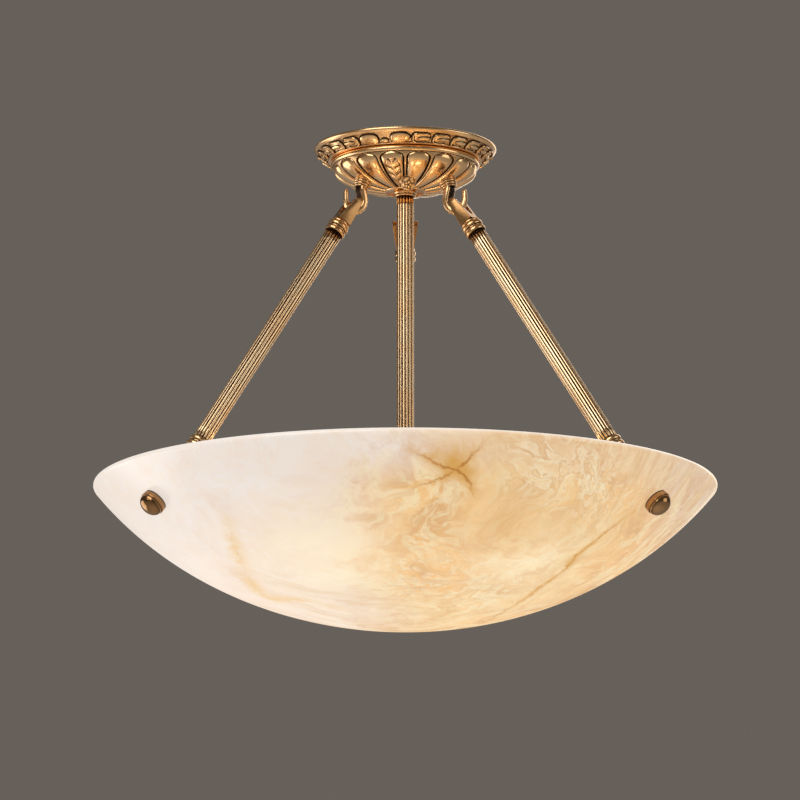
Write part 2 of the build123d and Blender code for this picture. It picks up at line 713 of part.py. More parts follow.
# Three-way terminal block under the plate, its clamping screws, and the earth screw
block_bottom = -plate_thickness - block_height
terminal_places = [(terminal_pitch * place, -block_offset) for place in (-1, 0, 1)]
with BuildPart() as terminal_block:
    with BuildSketch(Plane.XY.offset(-plate_thickness)):
        with Locations((0, -block_offset)):
            RectangleRounded(block_length, block_width, block_width / 8)
    extrude(amount=-block_height)
    with BuildSketch(Plane.XY.offset(block_bottom)):
        with Locations(*terminal_places):
            Circle(terminal_screw_diameter / 2 + thread_clearance)
    extrude(amount=terminal_screw_depth, mode=Mode.SUBTRACT)
keep(terminal_block, "terminal_block")

with BuildPart() as terminal_screws:
    with BuildSketch(Plane.XY.offset(block_bottom + terminal_screw_depth)):
        with Locations(*terminal_places):
            Circle(terminal_screw_diameter / 2)
    extrude(amount=-terminal_screw_depth)
keep(terminal_screws, "terminal_screws")

with BuildPart() as earth_screw:
    with BuildSketch(Plane.XY):
        with PolarLocations(earth_screw_offset, 1, start_angle=earth_screw_azimuth):
            Circle(earth_screw_diameter / 2)
    extrude(amount=-plate_thickness)
    with BuildSketch(Plane.XY.offset(-plate_thickness)):
        with PolarLocations(earth_screw_offset, 1, start_angle=earth_screw_azimuth):
            Circle(earth_head_diameter / 2)
    extrude(amount=-earth_head_height)
keep(earth_screw, "earth_screw")


# Centre stem: ringed collar, reeded tube, coupling, hub and finial
nipple_hole = nipple_diameter / 2 + thread_clearance
spigot_radius = tube_bore / 2 - thread_clearance
collar_bead = stem_collar_length / 4
with BuildPart() as stem_collar:
    with BuildSketch(Plane.XZ):
        with Locations((nipple_hole, cup_floor)):
            Rectangle(
                stem_collar_diameter / 2 - collar_bead - nipple_hole, stem_collar_length,
                align=(Align.MIN, Align.MAX),
            )
        with Locations(
            (stem_collar_diameter / 2 - collar_bead, cup_floor - collar_bead),
            (stem_collar_diameter / 2 - collar_bead, stem_top + collar_bead),
        ):
            Circle(collar_bead)
        with Locations((nipple_hole, stem_top)):
            Rectangle(spigot_radius - nipple_hole, spigot_length, align=(Align.MIN, Align.MAX))
    revolve(axis=Axis.Z)
keep(stem_collar, "stem_collar")

with BuildPart() as stem_tube:
    with BuildSketch(Plane.XY.offset(stem_top)):
        draw_reeds(arm_diameter, tube_bore)
    extrude(amount=stem_bottom - stem_top)
keep(stem_tube, "stem_tube")

coupling_bead = coupling_length / 4
lead_bore = nipple_bore / 2
with BuildPart() as stem_coupling:
    with BuildSketch(Plane.XZ):
        with Locations((lead_bore, stem_bottom)):
            Rectangle(
                coupling_diameter / 2 - coupling_bead - lead_bore, coupling_length,
                align=(Align.MIN, Align.MAX),
            )
        with Locations(
            (coupling_diameter / 2 - coupling_bead, stem_bottom - coupling_bead),
            (coupling_diameter / 2 - coupling_bead, hub_top + coupling_bead),
        ):
            Circle(coupling_bead)
        with Locations((lead_bore, stem_bottom)):
            Rectangle(spigot_radius - lead_bore, spigot_length, align=(Align.MIN, Align.MIN))
    revolve(axis=Axis.Z)
keep(stem_coupling, "stem_coupling")

# Hub: a waisted drum with a flat for each lampholder
hub_radius = hub_diameter / 2
hub_bevel = hub_height / 6
hub_flat = hub_radius - holder_stub_length / 2
with BuildPart() as lamp_hub:
    with BuildSketch(Plane.XZ):
        with BuildLine():
            Polyline(
                (lead_bore, hub_top), (coupling_diameter / 2, hub_top), (hub_radius, hub_top - hub_bevel),
                (hub_radius, hub_bottom + hub_bevel), (finial_diameter / 2, hub_bottom),
                (lead_bore, hub_bottom), close=True,
            )
        make_face()
    revolve(axis=Axis.Z)
    for azimuth in arm_azimuth.values():
        lamp_line = line_plane(azimuth, (0, hub_middle), (1, 0))
        with BuildSketch(across(lamp_line, hub_flat)):
            Rectangle(hub_height, hub_diameter)
        extrude(amount=hub_diameter, mode=Mode.SUBTRACT)
        with BuildSketch(across(lamp_line, hub_flat)):
            Circle(holder_stub_diameter / 2 + thread_clearance)
        extrude(amount=-holder_stub_length, mode=Mode.SUBTRACT)
keep(lamp_hub, "lamp_hub")

stud_radius = lead_bore - thread_clearance
ball_radius = finial_ball_diameter / 2
with BuildPart() as hub_finial:
    with BuildSketch(Plane.XZ):
        with Locations((0, hub_bottom)):
            Rectangle(stud_radius, finial_stud_length, align=(Align.MIN, Align.MIN))
            Rectangle(finial_diameter / 2, finial_plate_thickness, align=(Align.MIN, Align.MAX))
            Rectangle(finial_neck_diameter / 2, finial_length - ball_radius, align=(Align.MIN, Align.MAX))
        with Locations((0, hub_bottom - finial_length + ball_radius)):
            Circle(ball_radius)
            Rectangle(ball_radius, finial_ball_diameter, align=(Align.MAX, Align.CENTER), mode=Mode.SUBTRACT)
    revolve(axis=Axis.Z)
keep(hub_finial, "hub_finial")


# Lampholders and bulbs
cap_start = hub_flat + holder_floor + holder_clearance
holder_end = hub_flat + holder_length
neck_start = holder_end + holder_clearance
neck_end = neck_start + bulb_neck_length
neck_radius = bulb_neck_diameter / 2
globe_middle = neck_end + sqrt((bulb_globe_diameter / 2) ** 2 - neck_radius**2)
cap_radius = bulb_cap_diameter / 2
for side, azimuth in arm_azimuth.items():
    lamp_line = line_plane(azimuth, (0, hub_middle), (1, 0))
    with BuildPart() as lampholder:
        with BuildSketch(lamp_line):
            step_box(hub_flat - holder_stub_length, 0, holder_stub_length, holder_stub_diameter / 2)
            step_box(hub_flat, 0, holder_length, holder_diameter / 2)
            step_box(
                hub_flat + holder_floor, 0, holder_length, cap_radius + holder_clearance, mode=Mode.SUBTRACT
            )
        revolve(axis=spin_axis(lamp_line))
    keep(lampholder, f"lampholder_{side}")

    with BuildPart() as bulb_cap:
        with BuildSketch(lamp_line):
            step_box(cap_start, 0, neck_start - cap_start, cap_radius)
        revolve(axis=spin_axis(lamp_line))
    keep(bulb_cap, f"bulb_cap_{side}")

    with BuildPart() as bulb_globe:
        with BuildSketch(lamp_line):
            with Locations((globe_middle, 0)):
                Circle(bulb_globe_diameter / 2)
            with BuildLine():
                Polyline(
                    (neck_start, 0), (neck_start, cap_radius), (neck_end, neck_radius),
                    (globe_middle, neck_radius), (globe_middle, 0), close=True,
                )
            make_face()
            lower_half = globe_middle + bulb_globe_diameter - neck_start
            step_box(neck_start, -bulb_globe_diameter, lower_half, bulb_globe_diameter, mode=Mode.SUBTRACT)
        revolve(axis=spin_axis(lamp_line))
    keep(bulb_globe, f"bulb_globe_{side}")
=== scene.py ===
# %% [markdown]
# # A pendant lamp with a stone bowl
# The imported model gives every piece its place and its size. This lesson dresses it: each
# piece that shows is worked out again as a smooth surface in numpy, in the same frame, and
# each finish is built from shader nodes. All sizes are in millimetres until a mesh is made.

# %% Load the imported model
import math

import bmesh
import bpy
import numpy as np
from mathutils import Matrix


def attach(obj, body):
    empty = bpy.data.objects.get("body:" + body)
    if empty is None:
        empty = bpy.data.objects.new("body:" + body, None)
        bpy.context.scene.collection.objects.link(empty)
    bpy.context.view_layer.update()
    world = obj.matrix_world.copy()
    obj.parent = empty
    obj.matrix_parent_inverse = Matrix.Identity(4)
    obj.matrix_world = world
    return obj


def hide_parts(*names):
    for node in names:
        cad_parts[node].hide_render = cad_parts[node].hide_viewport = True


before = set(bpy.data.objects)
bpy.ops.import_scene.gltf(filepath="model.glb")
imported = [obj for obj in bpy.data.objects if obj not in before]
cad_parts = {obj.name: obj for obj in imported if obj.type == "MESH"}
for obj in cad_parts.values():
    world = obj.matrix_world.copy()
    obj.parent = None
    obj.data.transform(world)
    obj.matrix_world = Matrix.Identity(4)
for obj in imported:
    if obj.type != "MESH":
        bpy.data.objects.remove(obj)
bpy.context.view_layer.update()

# %% [markdown]
# ## Camera
# A long lens from far away keeps the rim and the canopy as flat ellipses. Their two shapes
# fix the distance and the tilt, so the camera is set by numbers and not by eye.

# %% Camera
scene = bpy.context.scene
camera_data = bpy.data.cameras.new("camera")
camera_data.sensor_width = 36.0
camera_data.lens = 199.84
camera = bpy.data.objects.new("camera", camera_data)
camera.location = (-0.0051, -4.21228, -1.0836)
look_up = 0.195208
camera.rotation_euler = (math.pi / 2 + look_up, 0.0, 0.0)
scene.collection.objects.link(camera)
scene.camera = camera
scene.view_settings.view_transform = "Standard"
print("camera looks up by", round(math.degrees(look_up), 1), "degrees")

# %% [markdown]
# ## Studio
# Brass shows what stands around it. The room is a plain warm grey, dark enough for the stone to
# look lit, and large soft lamps give the metal long bright streaks beside darker ones. The floor
# is pale, and lies so far below that the bowl can be looked at from underneath.

# %% Studio light and floor
world = bpy.data.worlds.new("studio")
scene.world = world
world.use_nodes = True
room = world.node_tree.nodes["Background"].inputs
room["Color"].default_value = (0.135, 0.118, 0.103, 1.0)
room["Strength"].default_value = 1.0


def soft_lamp(name, place, target, size, power, colour):
    """Square lamp at a place, turned to face a target."""
    data = bpy.data.lights.new(name, "AREA")
    data.size = size
    data.energy = power
    data.color = colour
    lamp = bpy.data.objects.new(name, data)
    lamp.location = place
    aim = np.subtract(target, place)
    pitch = math.atan2(math.hypot(aim[0], aim[1]), -aim[2])
    lamp.rotation_euler = (pitch, 0.0, math.atan2(-aim[0], aim[1]))
    scene.collection.objects.link(lamp)
    print(name, power, "watts")


soft_lamp("lamp_key", (-1.6, -2.6, 1.7), (0, 0, -0.25), size=2.7, power=66, colour=(1.0, 0.97, 0.93))
soft_lamp("lamp_fill", (2.9, -1.2, 0.2), (0, 0, -0.25), size=1.8, power=14, colour=(1.0, 0.96, 0.9))
soft_lamp("lamp_back", (1.0, 2.6, 0.9), (0, 0, -0.2), size=2.4, power=24, colour=(1.0, 0.94, 0.86))
soft_lamp("lamp_left", (-2.5, 1.0, -1.1), (0, 0, -0.15), size=2.0, power=24, colour=(1.0, 0.98, 0.96))

floor_height, floor_half = -3.4, 30
floor_turns = ((-1, -1), (1, -1), (1, 1), (-1, 1))
floor_corners = [(floor_half * x, floor_half * y, floor_height) for x, y in floor_turns]
floor_mesh = bpy.data.meshes.new("floor")
floor_mesh.from_pydata(floor_corners, [], [(0, 1, 2, 3)])
floor = bpy.data.objects.new("floor", floor_mesh)
scene.collection.objects.link(floor)

# %% [markdown]
# ## Shader helpers
# A finish is a small network of nodes. These helpers add one node each and take either plain
# values or the output of another node, so a network reads from top to bottom. A new node joins
# the tree that its first input comes from.

# %% Shader helpers


def feed(tree, node, inputs):
    """Inputs of a node: each socket gets a plain value, or a link to the output that feeds it."""
    for socket, value in inputs.items():
        if isinstance(value, bpy.types.NodeSocket):
            tree.links.new(value, node.inputs[socket])
        else:
            node.inputs[socket].default_value = value


def add(tree, kind, inputs=None, **settings):
    """New shader node with its settings and inputs."""
    made = tree.nodes.new("ShaderNode" + kind)
    for name, value in settings.items():
        setattr(made, name, value)
    feed(tree, made, inputs or {})
    return made


def calc(operation, first, second=0.0):
    """Output of one sum on two values."""
    return add(first.id_data, "Math", {0: first, 1: second}, operation=operation).outputs[0]


def times(first, second):
    """Product of two values."""
    return calc("MULTIPLY", first, second)


def ease(value, start, end, low=0.0, high=1.0):
    """Smooth step of a value from low at start to high at end."""
    steps = {0: value, 1: start, 2: end, 3: low, 4: high}
    return add(value.id_data, "MapRange", steps, interpolation_type="SMOOTHSTEP").outputs[0]


def tint(factor, first, second):
    """Mix of two colours by a factor."""
    colours = {0: factor, 6: first, 7: second}
    return add(factor.id_data, "Mix", colours, data_type="RGBA").outputs[2]


def cloud(vector, scale, detail=3.0, roughness=0.5, distortion=0.0):
    """Noise value between 0 and 1 over a vector."""
    sizes = {"Scale": scale, "Detail": detail, "Roughness": roughness, "Distortion": distortion}
    return add(vector.id_data, "TexNoise", {"Vector": vector, **sizes}).outputs[0]


def new_finish(name):
    """Material with its node tree and its Principled shader."""
    made = bpy.data.materials.new(name)
    made.use_nodes = True
    return made, made.node_tree, made.node_tree.nodes["Principled BSDF"]


# %% [markdown]
# ## Aged brass
# Old lamp brass is bright where hands and cloths reach and brown where they don't. Each piece
# carries a number called recess on its points, worked out with its shape: 0 on the crests and
# 1 in the grooves. On the hooks it also carries a painted shade on the strap's inner face. One
# node group turns it into colour, gloss and a fine grain. Its wander says how far the tone drifts
# about from place to place.

# %% Aged brass group
aged = bpy.data.node_groups.new("aged brass", "ShaderNodeTree")
for label in ("Recess", "Wander", "Gloss"):
    aged.interface.new_socket(label, in_out="INPUT", socket_type="NodeSocketFloat")
for label in ("Crest", "Body", "Patina"):
    aged.interface.new_socket(label, in_out="INPUT", socket_type="NodeSocketColor")
for label, kind in (("Color", "Color"), ("Roughness", "Float"), ("Height", "Float")):
    aged.interface.new_socket(label, in_out="OUTPUT", socket_type="NodeSocket" + kind)
given = aged.nodes.new("NodeGroupInput").outputs
brass_place = add(aged, "TexCoord").outputs["Object"]
patches = cloud(brass_place, scale=38.0, detail=4.0)
speck = cloud(brass_place, scale=260.0)
grain = cloud(brass_place, scale=1400.0, detail=2.0)
drift = times(calc("SUBTRACT", patches, 0.5), given["Wander"])
dark = ease(calc("ADD", given["Recess"], drift), 0.22, 0.85)
metal = tint(ease(patches, 0.36, 0.64), given["Body"], given["Crest"])
spotting = times(ease(speck, 0.58, 0.75, 0.0, 0.45), given["Wander"])
metal = tint(spotting, metal, given["Patina"])
metal = tint(dark, metal, given["Patina"])
rough = calc("ADD", given["Gloss"], times(dark, 0.26))
uneven = times(ease(speck, 0.3, 0.7, -0.08, 0.08), given["Wander"])
rough = calc("ADD", rough, uneven)
fine = calc("ADD", grain, times(speck, 0.6))
shown = {"Color": metal, "Roughness": rough, "Height": fine}
feed(aged, aged.nodes.new("NodeGroupOutput"), shown)
print("aged brass group", len(aged.nodes), "nodes")

# %% [markdown]
# ### Four brasses
# The castings, the drawn tubes, the forked eyes and the cap nuts were never polished alike.
# They share the group and differ in gloss, in their three colours and in how even they are.

# %% Brass finishes


def brass_finish(name, gloss, crest, body, patina, wander=0.22, grain_depth=0.00002):
    """Brass that reads the recess of its piece through the aged brass group, more or less even."""
    made, tree, shader = new_finish(name)
    recess = add(tree, "Attribute", attribute_name="recess").outputs["Fac"]
    tones = {"Crest": (*crest, 1.0), "Body": (*body, 1.0), "Patina": (*patina, 1.0)}
    wear = {"Recess": recess, "Gloss": gloss, "Wander": wander}
    age = add(tree, "Group", {**wear, **tones}, node_tree=aged).outputs
    relief = {"Height": age["Height"], "Strength": 0.15, "Distance": grain_depth}
    feed(tree, shader, {
        "Metallic": 1.0, "Base Color": age["Color"], "Roughness": age["Roughness"],
        "Normal": add(tree, "Bump", relief).outputs[0],
    })
    print(name, "gloss", gloss)
    return made


cast_brass = brass_finish(
    "cast brass", gloss=0.22, crest=(0.94, 0.62, 0.32), body=(0.86, 0.52, 0.24),
    patina=(0.045, 0.018, 0.008), wander=0.14,
)
reeded_brass = brass_finish(
    "reeded brass", gloss=0.22, crest=(1.0, 0.74, 0.45), body=(1.0, 0.67, 0.37),
    patina=(0.05, 0.02, 0.008), wander=0.04, grain_depth=0.000005,
)
eye_brass = brass_finish(
    "eye brass", gloss=0.26, crest=(0.47, 0.265, 0.115), body=(0.39, 0.21, 0.082),
    patina=(0.05, 0.02, 0.009),
)
nut_brass = brass_finish(
    "nut brass", gloss=0.17, crest=(0.48, 0.28, 0.13), body=(0.33, 0.18, 0.08),
    patina=(0.04, 0.018, 0.008), wander=0.12,
)

# %% [markdown]
# ## Mesh helpers
# Every new piece is a grid of points: one direction runs round or along, the other across.
# Four neighbours make a face. Grids that close on themselves are wrapped, points that fall
# together at a pole are merged, and the faces are turned outwards.

# %% Mesh from grids
MM = 0.001
MERGE = 1e-6


def grid_faces(rows, columns, wrap_rows, wrap_columns):
    """Index of the four corners of every cell of a grid."""
    index = np.arange(rows * columns).reshape(rows, columns)
    ahead = np.roll(index, -1, 0)
    aside = np.roll(index, -1, 1)
    across = np.roll(ahead, -1, 1)
    cells = np.stack((index, ahead, across, aside), -1)
    cells = cells if wrap_rows else cells[:-1]
    cells = cells if wrap_columns else cells[:, :-1]
    return cells.reshape(-1, 4)


def dress(mesh, name, finish, body, nodes):
    """Object of a mesh with its finish, on a body of the model, in place of the model's nodes."""
    mesh.polygons.foreach_set("use_smooth", np.ones(len(mesh.polygons), bool))
    mesh.materials.append(finish)
    piece = bpy.data.objects.new(name, mesh)
    scene.collection.objects.link(piece)
    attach(piece, body)
    if nodes:
        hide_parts(*nodes)
    print(name, len(mesh.polygons), "faces")
    return piece


def make_piece(name, grids, finish, body, nodes=(), masks=("recess",)):
    """One object from grids of (points, wrap_rows, wrap_columns, values of each mask)."""
    points, faces, values, start = [], [], [[] for mask in masks], 0
    for spots, wrap_rows, wrap_columns, *marks in grids:
        rows, columns = spots.shape[:2]
        points.append(spots.reshape(-1, 3) * MM)
        faces.append(grid_faces(rows, columns, wrap_rows, wrap_columns) + start)
        for store, mark in zip(values, marks):
            store.append(np.broadcast_to(mark, (rows, columns)).ravel())
        start += rows * columns
    points, faces = np.concatenate(points), np.concatenate(faces)
    mesh = bpy.data.meshes.new(name)
    mesh.vertices.add(len(points))
    mesh.vertices.foreach_set("co", points.ravel())
    mesh.loops.add(faces.size)
    mesh.loops.foreach_set("vertex_index", faces.ravel())
    mesh.polygons.add(len(faces))
    mesh.polygons.foreach_set("loop_start", np.arange(0, faces.size, 4))
    mesh.update(calc_edges=True)
    for mask, store in zip(masks, values):
        layer = mesh.attributes.new(mask, "FLOAT", "POINT")
        layer.data.foreach_set("value", np.concatenate(store).astype(np.float32))
    knit = bmesh.new()
    knit.from_mesh(mesh)
    bmesh.ops.remove_doubles(knit, verts=knit.verts, dist=MERGE)
    bmesh.ops.recalc_face_normals(knit, faces=knit.faces)
    knit.to_mesh(mesh)
    knit.free()
    dress(mesh, name, finish, body, nodes)


def brass_piece(node, grid, body="canopy", finish=cast_brass):
    """Brass piece of one grid, in place of the node that it is named after."""
    make_piece(f"{node}_brass", [grid], finish, body, [node])


# %% [markdown]
# ## Alabaster
# Alabaster lets light through, so a lit bowl glows: milky white where it is pure, honey where
# iron has stained it, with brown lines where it once cracked and healed. A flat picture would
# stretch over the round wall. Noise that is bent by more noise runs through the stone like its
# own clouds, so it has no seam and no wrong side.

# %% Stone noise
stone, tree, shader = new_finish("alabaster")
where = add(tree, "TexCoord").outputs["Object"]
split = add(tree, "SeparateXYZ", {0: where}).outputs


def off(value, level):
    """How far a value lies above a level."""
    return calc("SUBTRACT", value, level)


def bent_by(vector, scale, amount):
    """Vector pushed about by coloured noise."""
    push = add(tree, "TexNoise", {"Vector": vector, "Scale": scale, "Detail": 3.0}).outputs["Color"]
    push = add(tree, "VectorMath", {0: push, 1: (0.5, 0.5, 0.5)}, operation="SUBTRACT").outputs[0]
    push = add(tree, "VectorMath", {0: push, "Scale": amount}, operation="SCALE").outputs[0]
    return add(tree, "VectorMath", {0: vector, 1: push}).outputs[0]


bent = bent_by(where, scale=6.0, amount=0.10)
curled = bent_by(bent, scale=17.0, amount=0.07)
broad = cloud(bent, scale=5.0, detail=4.0)
swirl = cloud(curled, scale=17.0, detail=6.0, roughness=0.62, distortion=0.5)
wisp = cloud(curled, scale=44.0, detail=5.0, roughness=0.62, distortion=0.8)
fleck = cloud(curled, scale=105.0, detail=3.0, roughness=0.6, distortion=0.9)
print("stone noise", len(tree.nodes), "nodes")

# %% [markdown]
# ### Pure and stained stone
# The block was white at one end and stained at the other. How far a point lies to the right
# decides between the two, with noise added so that the border wanders. The wall is duller near
# the rim and at the far right, where the bulbs' light hardly reaches.

# %% Ground of the stone


def over(ground, factor, colour):
    """Ground colour with another colour laid over it by a factor."""
    return tint(factor, ground, (*colour, 1.0))


side = calc("ADD", split["X"], times(off(broad, 0.5), 0.16))
height = calc("ADD", split["Z"], times(off(swirl, 0.5), 0.05))
upper = times(ease(height, -0.385, -0.350), ease(split["X"], -0.02, 0.12, 0.95, 0.5))
cream = times(ease(split["Z"], -0.365, -0.425, 0.0, 0.34), ease(side, -0.25, -0.12))
warmth = calc("MAXIMUM", ease(side, -0.13, 0.01), cream)
white = tint(ease(broad, 0.35, 0.65), (0.98, 0.89, 0.82, 1.0), (1.0, 0.93, 0.88, 1.0))
honey = tint(ease(broad, 0.38, 0.62), (1.0, 0.70, 0.36, 1.0), (0.97, 0.545, 0.20, 1.0))
tone = tint(warmth, white, honey)
rim_white, rim_honey = (0.98, 0.88, 0.80, 1.0), (0.86, 0.66, 0.47, 1.0)
tone = tint(upper, tone, tint(ease(split["X"], -0.03, 0.1), rim_white, rim_honey))
tone = over(tone, ease(side, 0.19, 0.30, 0.0, 0.85), (0.82, 0.67, 0.53))
faint = times(ease(swirl, 0.44, 0.60, 0.0, 0.4), ease(side, -0.08, -0.2))
tone = over(tone, faint, (0.92, 0.82, 0.73))
blush = times(ease(wisp, 0.42, 0.60, 0.0, 0.42), ease(side, 0.0, -0.1))
tone = over(tone, blush, (0.97, 0.80, 0.68))
milky = times(ease(fleck, 0.50, 0.66, 0.0, 0.5), ease(side, -0.02, -0.12))
tone = over(tone, milky, (1.0, 0.95, 0.91))
print("ground of the stone", len(tree.nodes), "nodes")

# %% [markdown]
# ### Clouds, creases and streaks
# In the stained part, clouds of three sizes lie over each other, brown and cream in turn. Where
# the stone looks crumpled, thin creases follow the level lines of one noise, each drawn as a
# painted highlight beside a painted shade. To the right and along the bottom the bedding shows as
# long streaks, which are noise stretched one way. In front of the bulbs the colour is painted
# lighter, a painted glow.

# %% Clouds of the stone


def mark(name):
    """Value that the bowl's points carry under a name."""
    return add(tree, "Attribute", attribute_name=name).outputs["Fac"]


def drawn_out(direction, along, across):
    """Noise that is long in one direction of the plan and short across it."""
    ways = (direction[0], direction[1], 0.0), (-direction[1], direction[0], 0.0)
    spans = [add(tree, "VectorMath", {0: bent, 1: way}, operation="DOT_PRODUCT") for way in ways]
    reach = [times(span.outputs["Value"], scale) for span, scale in zip(spans, (along, across))]
    drawn = add(tree, "CombineXYZ", {0: reach[0], 1: reach[1], 2: split["Z"]}).outputs[0]
    return cloud(drawn, scale=1.0, detail=5.0, roughness=0.6)


calm = ease(cloud(bent, scale=9.0, detail=2.0), 0.40, 0.58, 0.5, 1.0)
depth = times(ease(side, -0.15, 0.03, 0.08, 1.0), calm)
depth = times(depth, ease(upper, 0.0, 0.9, 1.0, 0.5))
layers = (
    (swirl, 0.45, 0.62, 0.68, (0.72, 0.40, 0.17)),
    (wisp, 0.46, 0.60, 0.70, (1.0, 0.85, 0.54)),
    (fleck, 0.48, 0.62, 0.36, (0.72, 0.43, 0.20)),
    (wisp, 0.42, 0.34, 0.52, (0.72, 0.43, 0.21)),
)
for value, start, end, most, colour in layers:
    tone = over(tone, times(ease(value, start, end, 0.0, most), depth), colour)
# Painted highlight and painted shade: along each crease a cream line lies beside a brown one, though the
# wall itself is smooth.
crease, crease_width = cloud(curled, scale=58.0, detail=2.0, distortion=1.2), 0.085
crinkle_light_and_shade = mark("crinkle_light_and_shade")
for level, most, colour in ((0.45, 0.58, (0.72, 0.43, 0.20)), (0.52, 0.6, (1.0, 0.88, 0.64))):
    ridge = calc("ABSOLUTE", off(crease, level))
    tone = over(tone, times(ease(ridge, crease_width, 0.0, 0.0, most), crinkle_light_and_shade), colour)
streak = drawn_out((0.67, -0.74), along=10.0, across=85.0)
slanted = times(ease(streak, 0.48, 0.62), ease(split["X"], 0.06, 0.2, 0.0, 0.5))
tone = over(tone, slanted, (0.76, 0.48, 0.24))
strata = drawn_out((0.99, 0.1), along=14.0, across=95.0)
layered = times(ease(strata, 0.50, 0.64), ease(split["Z"], -0.425, -0.455, 0.0, 0.42))
tone = over(tone, layered, (0.80, 0.56, 0.33))
# Painted glow: in front of the bulbs behind the wall the colour is painted lighter and warmer.
glow = mark("glow")
tone = over(tone, times(glow, ease(swirl, 0.40, 0.58, 0.72, 0.36)), (1.0, 0.89, 0.62))
print("clouds of the stone", len(tree.nodes), "nodes")

# %% [markdown]
# ### Healed cracks
# A healed crack is a thin brown line in a wider amber stain. Noise can't place one, so each
# point of the bowl carries its distance to five drawn lines, and the finish draws the stain and
# the line from that distance, shaken a little by the noise.

# %% Cracks and veins
amber, amber_tone, pale_amber = mark("amber"), (0.74, 0.40, 0.10), (0.93, 0.65, 0.32)
tone = over(tone, times(amber, ease(wisp, 0.36, 0.60, 0.45, 1.0)), (0.72, 0.38, 0.09))
shake = times(calc("ADD", off(wisp, 0.5), off(fleck, 0.5)), 0.009)
stains = {
    "crack_long": (0.009, 0.85, 0.0020, 0.85, amber_tone),
    "crack_short": (0.009, 0.9, 0.0020, 0.85, amber_tone),
    "vein_left": (0.017, 0.72, 0.0012, 0.2, pale_amber),
    "vein_right": (0.007, 0.85, 0.0013, 0.75, amber_tone),
    "vein_end": (0.006, 0.35, 0.0010, 0.3, pale_amber),
}
for name, (stain_width, stain_depth, line_width, line_depth, stain_tone) in stains.items():
    offset = calc("ABSOLUTE", calc("ADD", mark(name), shake))
    fade = mark(name + "_fade")
    patchy = times(fade, ease(swirl, 0.38, 0.56, 0.25, 1.0))
    tone = over(tone, times(ease(offset, stain_width, 0.0, 0.0, stain_depth), patchy), stain_tone)
    line = times(ease(offset, line_width, line_width * 0.25, 0.0, line_depth), fade)
    line = times(line, ease(wisp, 0.40, 0.55, 0.25, 1.0))
    line = times(line, ease(amber, 0.0, 0.7, 0.68, 1.0))
    tone = over(tone, line, (0.50, 0.19, 0.03))
# Painted highlight: the lip is painted near white along its crest.
tone = over(tone, mark("edge"), (0.99, 0.94, 0.88))
print("cracks and veins", len(tree.nodes), "nodes")

# %% [markdown]
# ### Light through the stone
# Real light would wander inside the wall, which takes long to work out. Here the stone gives
# off its own colour instead, more in front of the bulbs and less near the rim and inside, and
# only a part of that colour is left for the studio's light to show.

# %% Light of the stone
lit_share = (0.40, 0.40, 0.40, 1.0)


def dimmed(colour, light):
    """Colour multiplied by a light."""
    parts = {0: 1.0, 6: colour, 7: light}
    return add(tree, "Mix", parts, data_type="RGBA", blend_type="MULTIPLY").outputs[2]


rim_light = ease(split["X"], -0.1, 0.08, 0.69, 0.77)
light = calc("ADD", ease(split["Z"], -0.350, -0.445, rim_light, 0.81), times(glow, 0.06))
light = times(light, ease(mark("within"), 0.0, 1.0, 1.0, 0.68))
feed(tree, shader, {
    "Base Color": dimmed(tone, lit_share), "Emission Color": dimmed(tone, light),
    "Emission Strength": 1.0, "Roughness": 0.28, "IOR": 1.5,
})
print("alabaster", len(tree.nodes), "nodes")

# %% [markdown]
# ## Bowl
# The bowl is turned from one block. Its wall is part of an ellipse, outside and inside, with a
# rounded lip. One closed profile is spun round the axis.

# %% Bowl wall
bowl_reach, bowl_rise, bowl_middle, wall = 370.0, 322.12, -150.88, 11.5


def joined(*parts):
    """Rows of points put end to end."""
    return np.concatenate(parts)


def arc(centre, radius, start, end, count):
    """Points of a circle between two angles in degrees."""
    angle = np.radians(np.linspace(start, end, count))
    return np.stack((centre[0] + radius * np.cos(angle), centre[1] + radius * np.sin(angle)), -1)


def spun(profile, angles, lift=0.0):
    """Points of (radius, height) rows at every angle, in degrees, moved out by a lift along the radius."""
    turn = np.radians(angles)[:, None]
    radius, height, turn = np.broadcast_arrays(profile[None, :, 0] + lift, profile[None, :, 1], turn)
    return np.stack((radius * np.cos(turn), radius * np.sin(turn), height), -1)


def wall_curve(reach, drop, start, end, count):
    """Lower half of an ellipse between two radii, evenly spaced in its angle."""
    angle = np.linspace(np.arcsin(start / reach), np.arcsin(end / reach), count)
    return np.stack((reach * np.sin(angle), bowl_middle - drop * np.cos(angle)), -1)


outer = wall_curve(bowl_reach, bowl_rise, 0.0, 299.04, 96)
lip = arc((296.2, -338.2), 3.7, -38, 90, 9)
inner_lip = arc((290.3, -337.0), 2.5, 90, 138, 6)
inner = wall_curve(bowl_reach - wall, bowl_rise - wall, 288.3, 0.0, 44)
bowl_profile = joined(outer, lip, inner_lip, inner)
bowl_angles = np.linspace(0, 360, 580, endpoint=False)
bowl_points = spun(bowl_profile, bowl_angles)
print("bowl", bowl_points.shape[0], "columns of", bowl_points.shape[1], "points")

# %% [markdown]
# ### Lines on the wall
# The cracks and veins are drawn in plan, as points under the bowl. Plan distances shrink where
# the wall is steep, so points and lines are first spread to true distances along the wall.

